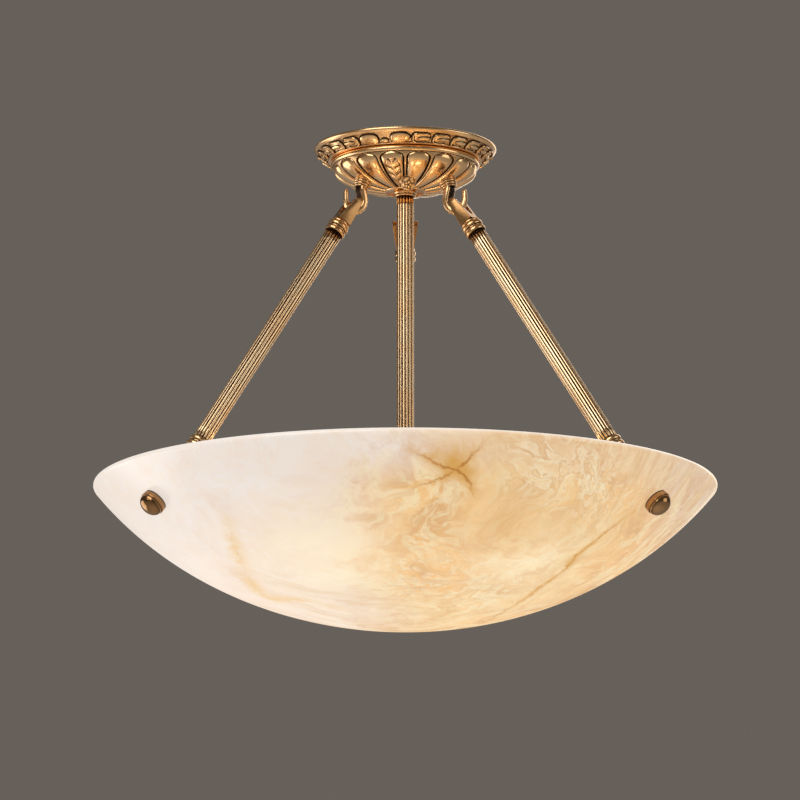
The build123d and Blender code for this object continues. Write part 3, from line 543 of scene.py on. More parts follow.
# %% Lines on the wall
healed_lines = {
    "crack_long": ((71, -286), (58, -278), (50, -272), (44, -270), (35, -265), (23, -262), (10, -258)),
    "crack_short": (
        (4, -288), (20, -280), (28, -275), (42, -270), (51, -265), (55, -259), (59, -254), (61, -246),
    ),
    "vein_left": (
        (-164, -176), (-161, -147), (-154, -115), (-145, -70), (-132, -41), (-117, -54), (-90, -67),
        (-62, -64),
    ),
    "vein_right": (
        (72, 14), (84, -8), (96, -32), (106, -47), (122, -73), (138, -90), (151, -101), (160, -120),
        (177, -130), (187, -135), (204, -141), (212, -142),
    ),
    "vein_end": ((259, -147), (253, -144), (249, -138), (245, -133)),
}
chart_radius = np.linspace(0, bowl_reach * 0.85, 400)
chart_steep = bowl_reach**2 * np.sqrt(1 - (chart_radius / bowl_reach) ** 2)
chart_slope = bowl_rise * chart_radius / chart_steep
chart_steps = np.hypot(1, chart_slope[1:]) * np.diff(chart_radius)
chart_run = joined((0.0,), np.cumsum(chart_steps))


def smooth_line(corners, count):
    """Curve through points: each stretch is a cubic whose end slopes follow the neighbours."""
    corners = np.array(corners, float)
    before = joined(2 * corners[:1] - corners[1:2], corners[:-1])
    after = joined(corners[1:], 2 * corners[-1:] - corners[-2:-1])
    slope = (after - before) / 2
    place = np.linspace(0, len(corners) - 1, count)
    step = np.minimum(place.astype(int), len(corners) - 2)
    t = (place - step)[:, None]
    start, end = corners[step], corners[step + 1]
    start_pull, end_pull = slope[step], slope[step + 1]
    return (
        (2 * t**3 - 3 * t**2 + 1) * start + (t**3 - 2 * t**2 + t) * start_pull
        + (3 * t**2 - 2 * t**3) * end + (t**3 - t**2) * end_pull
    )


def unrolled(plan):
    """Plan points spread so that distances from the middle are true along the wall."""
    radius = np.linalg.norm(plan, axis=-1, keepdims=True)
    return plan * np.interp(radius, chart_radius, chart_run) / np.maximum(radius, 0.001)


def line_marks(plan, corners):
    """Signed offset from a line in metres, and how near each point lies to it, from 0 to 1."""
    trail = unrolled(smooth_line(corners, 60)).astype(np.float32)
    ahead = np.gradient(trail, axis=0)
    ahead = ahead / np.linalg.norm(ahead, axis=-1, keepdims=True)
    spots = unrolled(plan).reshape(-1, 1, 2).astype(np.float32)
    nearest = ((spots - trail) ** 2).sum(-1).argmin(1)
    gap = spots[:, 0] - trail[nearest]
    offset = ahead[nearest, 0] * gap[:, 1] - ahead[nearest, 1] * gap[:, 0]
    along = (ahead[nearest] * gap).sum(-1)
    last = len(trail) - 1
    beyond = np.where(nearest == 0, -along, np.where(nearest == last, along, 0)).clip(0)
    taper = np.interp(nearest / last, (0.0, 0.2, 0.85, 1.0), (0.35, 1.0, 1.0, 0.5))
    fade = taper * np.exp(-(beyond / 5.0) ** 2 - (offset / 26.0) ** 2)
    return offset.reshape(plan.shape[:2]) * MM, fade.reshape(plan.shape[:2])


bowl_marks = {}
for name, corners in healed_lines.items():
    bowl_marks[name], bowl_marks[name + "_fade"] = line_marks(bowl_points[..., :2], corners)
print("lines", list(healed_lines))

# %% [markdown]
# ### Patches on the wall
# The wall also knows where the bulbs stand behind it, for a painted glow, where iron gathered
# into amber and where the creases' painted highlight and shade lie. Each is a sum of soft round
# patches. Two more marks tell the thin lip, which is painted near white as a painted highlight,
# and the inside.

# %% Patches and bowl piece


def radial(azimuth, radius, height):
    """Point at an azimuth in degrees, a distance from the axis and a height."""
    turn = math.radians(azimuth)
    return np.array((radius * math.cos(turn), radius * math.sin(turn), height))


bulb_places = (246.0, 176.0, -432.0), (309.0, 184.0, -430.0), (92.0, 180.0, -431.0)
bulb_spots = [(radial(*place), 58.0, 1.0) for place in bulb_places]
amber_spots = (
    ((40, -280, -358), 15.0, 0.62), ((46, -271, -366), 11.0, 0.75), ((58, -264, -371), 9.0, 0.6),
    ((24, -285, -354), 9.0, 0.4), ((54, -285, -350), 10.0, 0.3), ((156, -114, -426), 11.0, 0.55),
    ((-156, -81, -435), 16.0, 0.3), ((-168, -186, -388), 13.0, 0.22), ((98, -206, -405), 36.0, 0.40),
    ((145, -178, -405), 34.0, 0.30), ((86, -258, -368), 30.0, 0.2), ((200, -125, -395), 34.0, 0.16),
)
# Patches where the creases' painted highlight and painted shade are drawn.
crinkle_light_and_shade_spots = (
    ((152, -236, -372), 52.0, 0.9), ((112, -266, -358), 36.0, 0.7), ((182, -180, -388), 40.0, 0.6),
    ((35, -150, -440), 50.0, 0.55), ((-18, -140, -448), 45.0, 0.45),
)
lip_height, lip_reach = -334.5, 2.2


def spotted(spots):
    """Sum of soft round patches on the bowl, each with a middle, a reach and a depth."""
    return np.clip(sum(
        most * np.exp(-(np.linalg.norm(bowl_points - spot, axis=-1) / reach) ** 2)
        for spot, reach, most in spots
    ), 0, 1)


# Painted glow where the bulbs stand behind the wall.
bowl_marks["glow"] = spotted(bulb_spots)
# Painted highlight along the lip.
bowl_marks["edge"] = 0.8 * np.exp(-((bowl_profile[:, 1] - lip_height) / lip_reach) ** 2)[None, :]
bowl_marks["amber"] = spotted(amber_spots)
bowl_marks["crinkle_light_and_shade"] = spotted(crinkle_light_and_shade_spots)
bowl_marks["within"] = (np.arange(len(bowl_profile)) >= len(bowl_profile) - len(inner))[None, :] * 1.0
make_piece(
    "bowl_stone", [(bowl_points, True, False, *bowl_marks.values())], stone, "bowl", ["bowl"],
    tuple(bowl_marks),
)

# %% [markdown]
# ## Canopy pan
# The pan is the wide upper plate that hides the fixing. Below its rolled rim runs a sloping band
# of cast ornament: plain leaves at the front and the back, a small drop between each two of them,
# and open shells round both sides. Carving every motif by hand would take long, so the relief is
# a height over the band, worked out from where a point lies in its motif.

# %% Pan profile
motif_side, motif_gap = 12, 0.27
motif_pitch = 180.0 / (motif_side + 2 * motif_gap)
front_azimuth = 255.5
pan_angles = np.linspace(0, 360, 1080, endpoint=False)
rim_roll = arc((87.0, -2.0), 1.95, 90, -60, 14)
rim = joined(((84.6, -0.05), (86.5, -0.05)), rim_roll, ((87.2, -4.4), (86.5, -5.0)))
band = np.linspace((86.2, -5.6), (74.9, -13.4), 34)
foot = joined(arc((74.6, -13.0), 0.95, -20, -90, 5), ((70.0, -13.95), (65.0, -13.95)))
inside = (65.0, -11.8), (74.0, -11.7), (84.6, -4.0)
pan_profile = joined(rim, band, foot, inside)
across_band = np.full(len(pan_profile), 2.0)
across_band[len(rim):len(rim) + len(band)] = np.linspace(-1, 1, len(band))
position = np.abs((pan_angles - front_azimuth + 180.0) % 360.0 - 180.0)
place = position / motif_pitch - motif_gap
motif = np.floor(place)[:, None]
along = (place % 1.0 * 2 - 1)[:, None]
from_gap = (np.minimum(position, 180.0 - position) / (motif_gap * motif_pitch))[:, None]
across = across_band[None, :]
print("pan", len(pan_profile), "rows, a motif every", round(motif_pitch, 2), "degrees")

# %% [markdown]
# ### Leaves and shells
# A leaf is a full form with a slanting point. A shell is a raised rim round a shallow dish with
# a tongue lying in it. Both run from -1 to 1 along the band and across it. Rows that lie under
# their neighbours are hollows, where old brass stays dark.

# %% Relief of the band


def leaf_relief(a, b):
    """Plain leaf: a full round form, wide at its root and drawn to a slanting point."""
    width = 1.0 - 0.45 * np.clip((a + 0.1) / 1.1, 0, 1) ** 1.8
    return np.clip(1 - np.abs(a / 0.98) ** 4 - np.abs((b + 0.12 * a) / width) ** 2.6, 0, 1) ** 0.45


def shell_relief(a, b):
    """Open shell: a raised rim round three sides of a shallow dish, with a tongue lying in it."""
    distance = (np.abs((a - 0.03) / 0.97) ** 3.5 + np.abs(b / 0.99) ** 3.5) ** (1 / 3.5)
    rim_part = np.exp(-((distance - 0.83) / 0.11) ** 2) * np.clip(1.6 - 1.7 * np.clip(a, 0, 1), 0, 1)
    field = 0.34 * (distance < 0.83) * (1 - 0.7 * distance)
    tongue_width = 0.46 * np.clip((a + 0.35) / 0.5, 0, 1) ** 0.5 * (1 - 0.3 * np.clip(a, 0, 1))
    tongue = np.sqrt(np.clip(1 - ((b - 0.1) / np.maximum(tongue_width, 0.01)) ** 2, 0, 1))
    tongue = tongue * np.clip((1.02 - a) / 0.2, 0, 1)
    return np.maximum(np.maximum(rim_part, field), 0.78 * tongue * (a > -0.35))


def hollow(radius, reach, depth):
    """Recess of a profile: how far each radius lies under the highest one within a reach of rows."""
    padded = np.pad(radius, reach, mode="edge")
    windows = np.lib.stride_tricks.sliding_window_view(padded, 2 * reach + 1)
    return np.clip((windows.max(-1) - radius) / depth, 0, 1)


on_band = np.abs(across) <= 1
relief = np.where(motif < 1, leaf_relief(along, across), shell_relief(along, across))
drop = 0.7 * np.sqrt(np.clip(1 - (from_gap / 0.75) ** 2 - ((across - 0.45) / 0.45) ** 2, 0, 1))
relief = np.where((place < 0)[:, None] | (place > motif_side)[:, None], drop, relief)
relief = np.where(on_band, relief, 0)
relief_depth, ground_depth = 2.9, 0.6
lift = np.where(on_band, relief_depth * relief - ground_depth, 0)
band_out, band_down = 0.568, 0.823
pan_points = spun(pan_profile, pan_angles, lift * band_out)
pan_points[..., 2] -= lift * band_down
slope = np.hypot(np.gradient(relief, axis=0), np.gradient(relief, axis=1))
band_recess = np.clip(1.0 - 3.2 * relief, 0, 1) * 0.48
band_recess = band_recess + np.clip(7.0 * slope - 0.3, 0, 0.9) * (relief < 0.62)
plain_recess = 0.45 * hollow(pan_profile[:, 0], 2, 3.0)[None, :]
pan_recess = np.where(on_band, np.clip(band_recess, 0, 1), plain_recess)
brass_piece("canopy_pan", (pan_points, True, True, pan_recess))

# %% [markdown]
# ## Gadrooned cup
# Gadroons are rows of swelling lobes, an old form for silver and brass. Each lobe is a rounded
# tongue: widest near its upper end, drawn in towards the boss below. A narrow strip stands
# between two lobes, with a dark groove on either side. The whole cup is one height over an
# ellipse, so lobes, strips and grooves join without seams.

# %% Cup surface
lobe_count = 16
cup_radius, cup_height, cup_middle = 70.0, 27.0, -17.0
cup_turn = np.radians(np.linspace(6.5, 74.0, 96))
cup_curve = np.stack((cup_radius * np.cos(cup_turn), cup_middle - cup_height * np.sin(cup_turn)), -1)
cup_normal = np.stack((np.cos(cup_turn) / cup_radius, -np.sin(cup_turn) / cup_height), -1)
cup_normal = cup_normal / np.linalg.norm(cup_normal, axis=-1, keepdims=True)
share = np.linspace(0, 1, len(cup_turn))[None, :]
half_pitch = np.pi * cup_curve[None, :, 0] / lobe_count
strip_half = 2.5 - 1.2 * share
rounding = np.clip(share / 0.17, 0, 1)
lobe_half = (half_pitch - strip_half) * np.sqrt(1 - 0.98 * (1 - rounding) ** 2)
lobe_full = 3.4 * (0.25 + 0.75 * np.clip(share / 0.2, 0, 1) ** 0.6) * (1 - 0.55 * share**1.5)


def lobe_swell(across_lobe, full):
    """Height of a lobe: flat-topped, falling to its edges at -1 and 1, a little under the cup there."""
    return full * np.clip(1 - np.abs(across_lobe) ** 2.6, 0, 1) ** 0.55 - 0.5


def over_cup(angles, lift, rows=slice(None)):
    """Points on rows of the cup's ellipse, at angles in degrees, lifted along its normal."""
    turn = np.radians(angles)
    radius = cup_curve[None, rows, 0] + lift * cup_normal[None, rows, 0]
    height = cup_curve[None, rows, 1] + lift * cup_normal[None, rows, 1]
    return np.stack((radius * np.cos(turn), radius * np.sin(turn), height), -1)


over_lobe = np.sin(np.radians(np.linspace(-90, 90, 31)))[:, None]
over_strip = np.linspace(0, 1, 17)[1:-1, None]
strip_width = 2 * (half_pitch - lobe_half)
beside = np.minimum(over_strip, 1 - over_strip) * strip_width
lobe_offset = joined(over_lobe * lobe_half, lobe_half + over_strip * strip_width)
groove = np.exp(-((beside - 0.55) / 0.5) ** 2)
strip_lift = 1.1 * np.clip((beside - 0.6) / 0.6, 0, 1) - 1.5 * groove
lobe_lift = lobe_swell(over_lobe, lobe_full)
lobe_shade = np.broadcast_to(0.75 * np.abs(over_lobe) ** 14, lobe_lift.shape)
one_lift = joined(lobe_lift, strip_lift)
one_recess = joined(lobe_shade, np.clip(1.2 * groove + 0.42, 0, 1))
lobe_middle = np.radians(180 / lobe_count + 360 / lobe_count * np.arange(lobe_count))
cup_angles = lobe_middle[:, None, None] + lobe_offset / cup_curve[None, :, 0]
cup_angles = np.degrees(cup_angles.reshape(-1, len(cup_turn)))
cup_lift, cup_recess = np.tile(one_lift, (lobe_count, 1)), np.tile(one_recess, (lobe_count, 1))
print("cup", cup_lift.shape[0], "columns of", cup_lift.shape[1], "points")

# %% [markdown]
# ### Bead, boss and inner wall
# Above the lobes the cup ends in a round bead, below them in a flat boss that carries the stem.
# Their rows are joined to the lobes' rows, and an inner wall closes the shell. A round pad under
# each hook fills the grooves.

# %% Cup piece
bead_turn = np.radians(np.linspace(90, -75, 16))
bead = np.stack((70.1 + 2.5 * np.cos(bead_turn), -16.9 + 2.85 * np.sin(bead_turn)), -1)
boss_face = (17.0, -44.0), (10.0, -44.0), (5.2, -44.0)
boss = joined(arc((19.0, -43.3), 1.3, 60, -110, 8), boss_face)
lining_turn = np.radians(np.linspace(72.0, 2.0, 6))
lining = np.stack((67.5 * np.cos(lining_turn), cup_middle - 24.5 * np.sin(lining_turn)), -1)
lining = joined(((5.2, -39.2), (16.8, -39.2)), lining, ((67.5, -14.0),))
low_rows = joined(boss, lining)
cup_shell = np.concatenate((
    spun(bead, cup_angles[:, 0]), over_cup(cup_angles, cup_lift), spun(low_rows, cup_angles[:, -1]),
), 1)
bead_recess = joined(np.full(2, 0.25), np.zeros(len(bead) - 4), (0.5, 1.0))
low_recess = joined((0.9, 0.5), np.zeros(len(low_rows) - 2))
cup_marks = np.concatenate((
    np.broadcast_to(bead_recess, (len(cup_angles), len(bead))), cup_recess,
    np.broadcast_to(low_recess, (len(cup_angles), len(low_rows))),
), 1)

arm_azimuth = {"left": 210.0, "right": 330.0, "back": 90.0}
stud_normal = (0.324263, -0.945967)
pad_profile = joined(((-1.0, 0.0), (-1.0, 8.5)), arc((1.9, 7.9), 0.6, 90, 0, 5), ((2.5, 0.0),))


def turned(profile, origin, direction, sides=72):
    """Surface of revolution: rows of (distance along the axis, radius), turned about the axis."""
    axis = np.array(direction, float)
    axis = axis / np.linalg.norm(axis)
    helper = np.array((0.0, 0.0, 1.0)) if abs(axis[2]) < 0.9 else np.array((1.0, 0.0, 0.0))
    across = np.cross(helper, axis)
    across = across / np.linalg.norm(across)
    upright = np.cross(axis, across)
    angle = np.linspace(0, 2 * np.pi, sides, endpoint=False)[:, None, None]
    along, radius = profile[None, :, 0, None], profile[None, :, 1, None]
    return np.array(origin) + along * axis + radius * (np.cos(angle) * across + np.sin(angle) * upright)


def stud_axis(azimuth):
    """Start and direction of a hook's stud, square to the cup."""
    return radial(azimuth, 46.5, -37.182), radial(azimuth, *stud_normal)


cup_grids = [(cup_shell, True, True, cup_marks)]
for azimuth in arm_azimuth.values():
    cup_grids.append((turned(pad_profile, *stud_axis(azimuth)), True, False, 0.15))
make_piece("canopy_cup_brass", cup_grids, cast_brass, "canopy", ["canopy_cup"])

# %% [markdown]
# ### Carved leaf
# At the front a tall carved leaf lies on one lobe. It is its own small grid, laid over the
# lobe: its outline follows the lobe's edges, a rib runs down the middle and veins lean upwards
# on both sides. A second skin under it closes the form.

# %% Leaf
leaf_azimuth, leaf_rows, leaf_teeth = 258.75, slice(16, 92), 4.5
leaf_along = np.linspace(0, 1, leaf_rows.stop - leaf_rows.start)[None, :]
leaf_across = np.linspace(-1, 1, 61)[:, None]
leaf_width = 0.80 * np.sin(np.pi * (0.03 + 0.94 * leaf_along) ** 0.75) ** 0.55
leaf_width = leaf_width * (0.90 + 0.10 * np.abs(np.cos(leaf_teeth * np.pi * leaf_along)))
leaf_over = leaf_across * leaf_width
leaf_bed = lobe_swell(leaf_over, lobe_full[:, leaf_rows])
leaf_vein = 0.5 + 0.5 * np.cos(leaf_teeth * 2 * np.pi * (leaf_along + 0.13 * np.abs(leaf_across)))
leaf_rib = np.exp(-(leaf_across / 0.13) ** 2)
leaf_edge = np.clip((1 - np.abs(leaf_across)) / 0.16, 0, 1)
leaf_skin = leaf_edge**0.5 * (0.8 + 0.7 * leaf_vein * (1 - leaf_rib) + 0.7 * leaf_rib) - 0.35
leaf_shade = np.clip((1 - leaf_vein) ** 4 * (1 - leaf_rib) + (1 - leaf_edge), 0, 1) * 0.8
leaf_spread = leaf_over * lobe_half[:, leaf_rows] / cup_curve[None, leaf_rows, 0]
leaf_angles = leaf_azimuth + np.degrees(leaf_spread)
leaf_front = over_cup(leaf_angles, leaf_bed + leaf_skin, leaf_rows)
leaf_back = over_cup(leaf_angles, leaf_bed - 0.6, leaf_rows)
leaf_loop = joined(leaf_front, leaf_back[::-1])
leaf_marks = joined(np.broadcast_to(leaf_shade, leaf_bed.shape), np.ones(leaf_bed.shape))


def drawn_together(ring):
    """Ring of points brought to its middle, which closes an end of the leaf."""
    return np.broadcast_to(ring.mean(0), ring.shape)


leaf_ends = drawn_together(leaf_loop[:, :1]), drawn_together(leaf_loop[:, -1:])
leaf_loop = np.concatenate((leaf_ends[0], leaf_loop, leaf_ends[1]), 1)
leaf_marks = np.concatenate((leaf_marks[:, :1], leaf_marks, leaf_marks[:, -1:]), 1)
print("leaf", leaf_loop.shape[0], "columns of", leaf_loop.shape[1], "points")

# %% [markdown]
# ### Bud
# A round bud sits over the groove beside the leaf. It is a ball whose radius rises and falls in
# rings of petals, stretched along the cup and flattened against it.

# %% Bud and piece
around = np.linspace(0, 2 * np.pi, 84, endpoint=False)[:, None]
tilt = np.linspace(0, np.pi, 44)[None, :]
petal_ring = 0.55
petal = np.abs(np.cos(2.5 * around + 1.2 * np.floor(tilt / petal_ring))) * np.sin(tilt)
step = np.abs(np.sin(tilt / petal_ring * np.pi))
bud_radius = 8.2 * (0.82 + 0.18 * petal**0.6 * (0.4 + 0.6 * step))
bud_way = np.broadcast_arrays(np.sin(tilt) * np.cos(around), np.sin(tilt) * np.sin(around), np.cos(tilt))
bud_ball = np.stack(bud_way, -1) * bud_radius[..., None]
bud_recess = np.clip(0.75 - 1.6 * petal * step, 0, 1)
bud_out, bud_side = radial(272.0, 0.62, -0.784), radial(2.0, 1.0, 0.0)
bud_rise = np.cross(bud_out, bud_side)
bud = bud_ball[..., :1] * bud_side + bud_ball[..., 1:2] * bud_rise * 1.35
bud = bud + bud_ball[..., 2:] * bud_out * 0.7 + radial(274.5, 35.5, -42.2)
carving = [(leaf_loop, True, False, leaf_marks), (bud, True, False, bud_recess)]
make_piece("leaf_and_bud_brass", carving, cast_brass, "canopy")

# %% [markdown]
# ## Hooks and their collars
# Each hook is a strap that leaves a ringed collar, goes down, bends outwards and rises again as
# a slim finger. It is a squarish oval carried along a curve while its width and thickness
# change. A row of beads down its back is a small extra height on that side. Near the collar the
# strap's inner face is painted dark, a painted shade.

# %% Hook strap
hook_spots = (
    (48.0, -41.6), (49.9, -47.1), (48.6, -53.8), (47.75, -60.5), (50.46, -67.04), (57.0, -69.75),
    (63.54, -67.04), (66.25, -60.5), (66.3, -54.5), (66.25, -48.9),
)
hook_widths = (13.0, 14.0, 14.0, 13.0, 11.0, 9.0, 7.5, 5.6, 4.6, 3.9)
hook_thick = (6.4, 6.4, 6.4, 6.4, 6.2, 5.8, 5.1, 4.4, 4.3, 3.9)
hook_steps, squareness, bead_pitch = 150, 0.55, 3.4
hook_line = smooth_line(np.column_stack((hook_spots, hook_widths, hook_thick)), hook_steps)
tip_round = np.sqrt(np.clip(1 - np.linspace(-14, 1, hook_steps).clip(0) ** 2, 0.0, 1))
tip_round[0] = 0.0
heading = np.gradient(hook_line[:, :2], axis=0)
heading = heading / np.linalg.norm(heading, axis=-1, keepdims=True)
hook_left = np.stack((-heading[:, 1], heading[:, 0]), -1)
oval = np.linspace(0, 2 * np.pi, 48, endpoint=False)
oval_side = np.sign(np.cos(oval)) * np.abs(np.cos(oval)) ** squareness
oval_back = np.sign(np.sin(oval)) * np.abs(np.sin(oval)) ** squareness
run = joined((0.0,), np.cumsum(np.linalg.norm(np.diff(hook_line[:, :2], axis=0), axis=-1)))
beaded = (run > 8) & (run < 40)
back_bead = np.abs(np.sin(np.pi * run / bead_pitch)) * beaded
on_back = np.clip(-np.sin(oval), 0, 1) ** 6
hook_side = oval_side[None, :] * (hook_line[:, 2] / 2 * tip_round)[:, None]
hook_depth = oval_back[None, :] * (hook_line[:, 3] / 2 * tip_round)[:, None]
hook_depth = hook_depth - back_bead[:, None] * on_back[None, :]
hook_radius = hook_line[:, None, 0] + hook_left[:, None, 0] * hook_depth
hook_height = hook_line[:, None, 1] + hook_left[:, None, 1] * hook_depth
hook_hollows_and_shade = np.clip((1 - back_bead[:, None]) * on_back[None, :] * beaded[:, None], 0, 1)
# Painted shade: near the collar the strap's inner face gets a high recess, so it is painted dark.
strap_inside_shade = np.clip(np.sin(oval), 0, 1)[None, :] ** 2 * np.exp(-(run / 34.0) ** 6)[:, None]
hook_hollows_and_shade = np.clip(hook_hollows_and_shade + 0.85 * strap_inside_shade, 0, 1)
print("hook strap", round(run[-1], 1), "mm long")

# %% [markdown]
# ### Ringed collars
# Each strap comes out of a collar of turned rings. A ring is half round on the profile, and the
# hollows between the rings are dark.

# %% Hook pieces


def ringed(start, widths, radii, bore):
    """Closed profile of turned rings, each with its own width and crown radius, over a bore."""
    rows, place = [(start, bore)], start
    half_turn = np.radians(np.linspace(180, 0, 12))
    for width, radius in zip(widths, radii):
        bulge = min(width / 2, 1.6)
        along = place + width / 2 + width / 2 * np.cos(half_turn)
        rows.extend(zip(along, radius - bulge + bulge * np.sin(half_turn)))
        place += width
    rows.append((place, bore))
    return np.array(rows)


def ring_grid(profile, origin, direction, sides=72, reach=4, depth=1.4):
    """Grid of a ringed profile turned about an axis, with the recess between its rings."""
    recess = hollow(profile[:, 1], reach, depth)[None, :]
    return turned(profile, origin, direction, sides), True, True, recess


hook_collar = ringed(2.5, (2.6, 2.6, 1.8), (8.5, 8.1, 7.2), 3.05)
collars = [ring_grid(hook_collar, *stud_axis(azimuth)) for azimuth in arm_azimuth.values()]
make_piece("hook_collar_brass", collars, cast_brass, "canopy", ["hook_collars"])
for name, azimuth in arm_azimuth.items():
    turn = math.radians(azimuth)
    spots = np.stack((
        hook_radius * math.cos(turn) + hook_side * math.sin(turn),
        hook_radius * math.sin(turn) - hook_side * math.cos(turn),
        hook_height,
    ), -1)
    brass_piece(f"hook_{name}", (spots, False, True, hook_hollows_and_shade))

# %% [markdown]
# ## Arms
# An arm is a forked eye, a ringed ferrule, a reeded tube, and the same again at the lower end.
# The tube's section is a ring of round-backed reeds, so its radius is a formula of the angle.
# The eyes keep the model's own form: a copy is merged and its sharp edges are rounded.

# %% Reeds and eyes
reed_count, reed_depth, tube_radius = 16, 1.9, 8.5
print("tubes with", reed_count, "reeds")


def reeded(start, direction, length, rows=24):
    """Closed tube whose radius follows round-backed reeds, with the recess between them."""
    angle = np.linspace(0, 2 * np.pi, reed_count * 14, endpoint=False)
    part = (angle * reed_count / (2 * np.pi)) % 1.0 * 2 - 1
    crown = np.sqrt(np.clip(1 - np.abs(part * 0.98) ** 2.5, 0, 1))
    outline = tube_radius - reed_depth * (1 - crown)
    profile = np.stack((np.linspace(0, length, rows), np.ones(rows)), -1)
    tube = turned(profile, (0, 0, 0), direction, len(angle))
    axis = np.array(direction) / np.linalg.norm(direction)
    core = profile[None, :, :1] * axis
    spots = np.array(start) + core + (tube - core) * outline[:, None, None]
    ends = [np.broadcast_to(start + axis * far, spots[:, :1].shape) for far in (0, length)]
    recess = np.clip((np.abs(part) - 0.52) / 0.24, 0, 1)[:, None]
    return np.concatenate((ends[0], spots, ends[1]), 1), True, False, recess


def softened(node, finish, body, width):
    """Copy of a model piece with merged points and rounded edges."""
    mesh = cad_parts[node].data.copy()
    knit = bmesh.new()
    knit.from_mesh(mesh)
    bmesh.ops.remove_doubles(knit, verts=knit.verts, dist=MERGE)
    bmesh.ops.dissolve_limit(knit, angle_limit=math.radians(0.6), verts=knit.verts, edges=knit.edges)
    knit.to_mesh(mesh)
    knit.free()
    mesh.materials.clear()
    piece = dress(mesh, f"{node}_brass", finish, body, [node])
    round_edges = piece.modifiers.new("rounded", "BEVEL")
    round_edges.width = width * MM
    round_edges.segments = 3
    round_edges.limit_method = "ANGLE"
    round_edges.angle_limit = math.radians(28)
    round_edges.harden_normals = True


# %% [markdown]
# ### Three arms
# The arms are alike, so one loop makes them. Each is set out from its upper eye along a line
# that leans outwards. The lower eye and ferrule are the upper ones turned round.

# %% Arm pieces
arm_slope = (0.5497102, -0.8353554)
arm_length, eye_length, tube_start = 334.9201, 24.0, 38.0
tube_length = arm_length - 2 * tube_start
ferrule = ringed(eye_length, (3.2, 4.6, 1.6, 4.6), (9.4, 10.5, 9.2, 10.3), 4.1)
for name, azimuth in arm_azimuth.items():
    arm = f"arm_{name}"
    top = radial(azimuth, 58.84153, -63.29844)
    down = radial(azimuth, *arm_slope)
    bottom = top + down * arm_length
    for end, start, inwards in (("top", top, down), ("bottom", bottom, -down)):
        softened(f"{arm}_{end}_eye", eye_brass, arm, 0.45)
        rings = ring_grid(ferrule, start, inwards, 96, reach=5, depth=1.3)
        brass_piece(f"{arm}_{end}_ferrule", rings, arm)
    tube = reeded(top + down * tube_start, down, tube_length)
    brass_piece(f"{arm}_tube", tube, arm, reeded_brass)

# %% [markdown]
# ## Centre stem and hub
# The stem is reeded like the arms. Inside the bowl it ends in a hub with a ball finial under it.
# They are hidden from the front, but they show from above.

# %% Stem and hub
centre, down = np.zeros(3), (0.0, 0.0, -1.0)
stem_start, stem_end = 49.0, 345.0
stem_collar = ring_grid(ringed(44.0, (2.8, 2.2), (11.0, 10.0), 5.1), centre, down, 96)
brass_piece("stem_collar", stem_collar)
stem = reeded(np.array((0.0, 0.0, -stem_start)), down, stem_end - stem_start, 30)
brass_piece("stem_tube", stem, finish=reeded_brass)
coupling = ring_grid(ringed(stem_end, (4.0, 2.0, 4.0), (12.0, 10.0, 12.0), 3.6), centre, down, 96)
brass_piece("stem_coupling", coupling)
softened("lamp_hub", cast_brass, "canopy", 0.8)
finial = joined(
    ((383.0, 0.0), (383.0, 3.45), (389.0, 3.45), (389.0, 9.6)), arc((390.6, 8.4), 1.6, 135, 10, 8),
    ((393.0, 6.4), (394.0, 4.7), (396.4, 4.5)), arc((404.0, 0.0), 7.0, 142, 0, 22),
)
finial_recess = hollow(finial[:, 1], 4, 5.0)[None, :]
brass_piece("hub_finial", (turned(finial, centre, down), True, False, finial_recess))

# %% [markdown]
# ## Plain finishes
# The pieces that hardly show still need honest finishes: zinc plated steel with its faint
# crystals, glazed white holders, grey rubber, pale moulded plastic, bright bulb caps and opal
# glass that glows.

# %% Plain finishes


def mottled(name, light, dark_tone, scale, rough_low, rough_high, metallic):
    """Finish whose colour and gloss wander between two values over soft noise."""
    made, tree, shader = new_finish(name)
    where = add(tree, "TexCoord").outputs["Object"]
    patch = ease(cloud(where, scale, 4.0), 0.3, 0.7)
    sheen = ease(cloud(where, scale * 3, 2.0), 0.3, 0.7, rough_low, rough_high)
    relief = {"Height": cloud(where, scale * 8, 2.0), "Strength": 0.2, "Distance": 0.00003}
    feed(tree, shader, {
        "Base Color": tint(patch, (*dark_tone, 1.0), (*light, 1.0)), "Roughness": sheen,
        "Metallic": metallic, "Normal": add(tree, "Bump", relief).outputs[0],
    })
    print(name, len(tree.nodes), "nodes")
    return made, tree, shader


zinc = mottled("zinc plate", (0.72, 0.72, 0.69), (0.58, 0.58, 0.56), 120.0, 0.28, 0.45, 1.0)[0]
porcelain = mottled("glazed holder", (0.92, 0.91, 0.88), (0.85, 0.84, 0.80), 40.0, 0.12, 0.22, 0.0)[0]
moulded = mottled("moulded block", (0.86, 0.86, 0.83), (0.78, 0.78, 0.75), 90.0, 0.45, 0.6, 0.0)[0]
rubber = mottled("grey rubber", (0.10, 0.095, 0.09), (0.06, 0.055, 0.05), 150.0, 0.6, 0.8, 0.0)[0]
bright_cap = mottled("bulb cap", (0.86, 0.86, 0.85), (0.74, 0.74, 0.73), 200.0, 0.2, 0.34, 1.0)[0]
opal, opal_tree, opal_shader = mottled(
    "opal glass", (0.98, 0.94, 0.88), (0.95, 0.90, 0.82), 30.0, 0.15, 0.25, 0.0,
)
opal_cloud = cloud(add(opal_tree, "TexCoord").outputs["Object"], 25.0)
opal_glow = tint(opal_cloud, (1.0, 0.80, 0.54, 1.0), (1.0, 0.90, 0.72, 1.0))
feed(opal_tree, opal_shader, {"Emission Color": opal_glow, "Emission Strength": 6.0})

# %% [markdown]
# ### Floor
# The floor is matt and pale. Rays from the camera and reflections also see a faint light of its
# own, so that it stays pale there without throwing more light on the lamp.

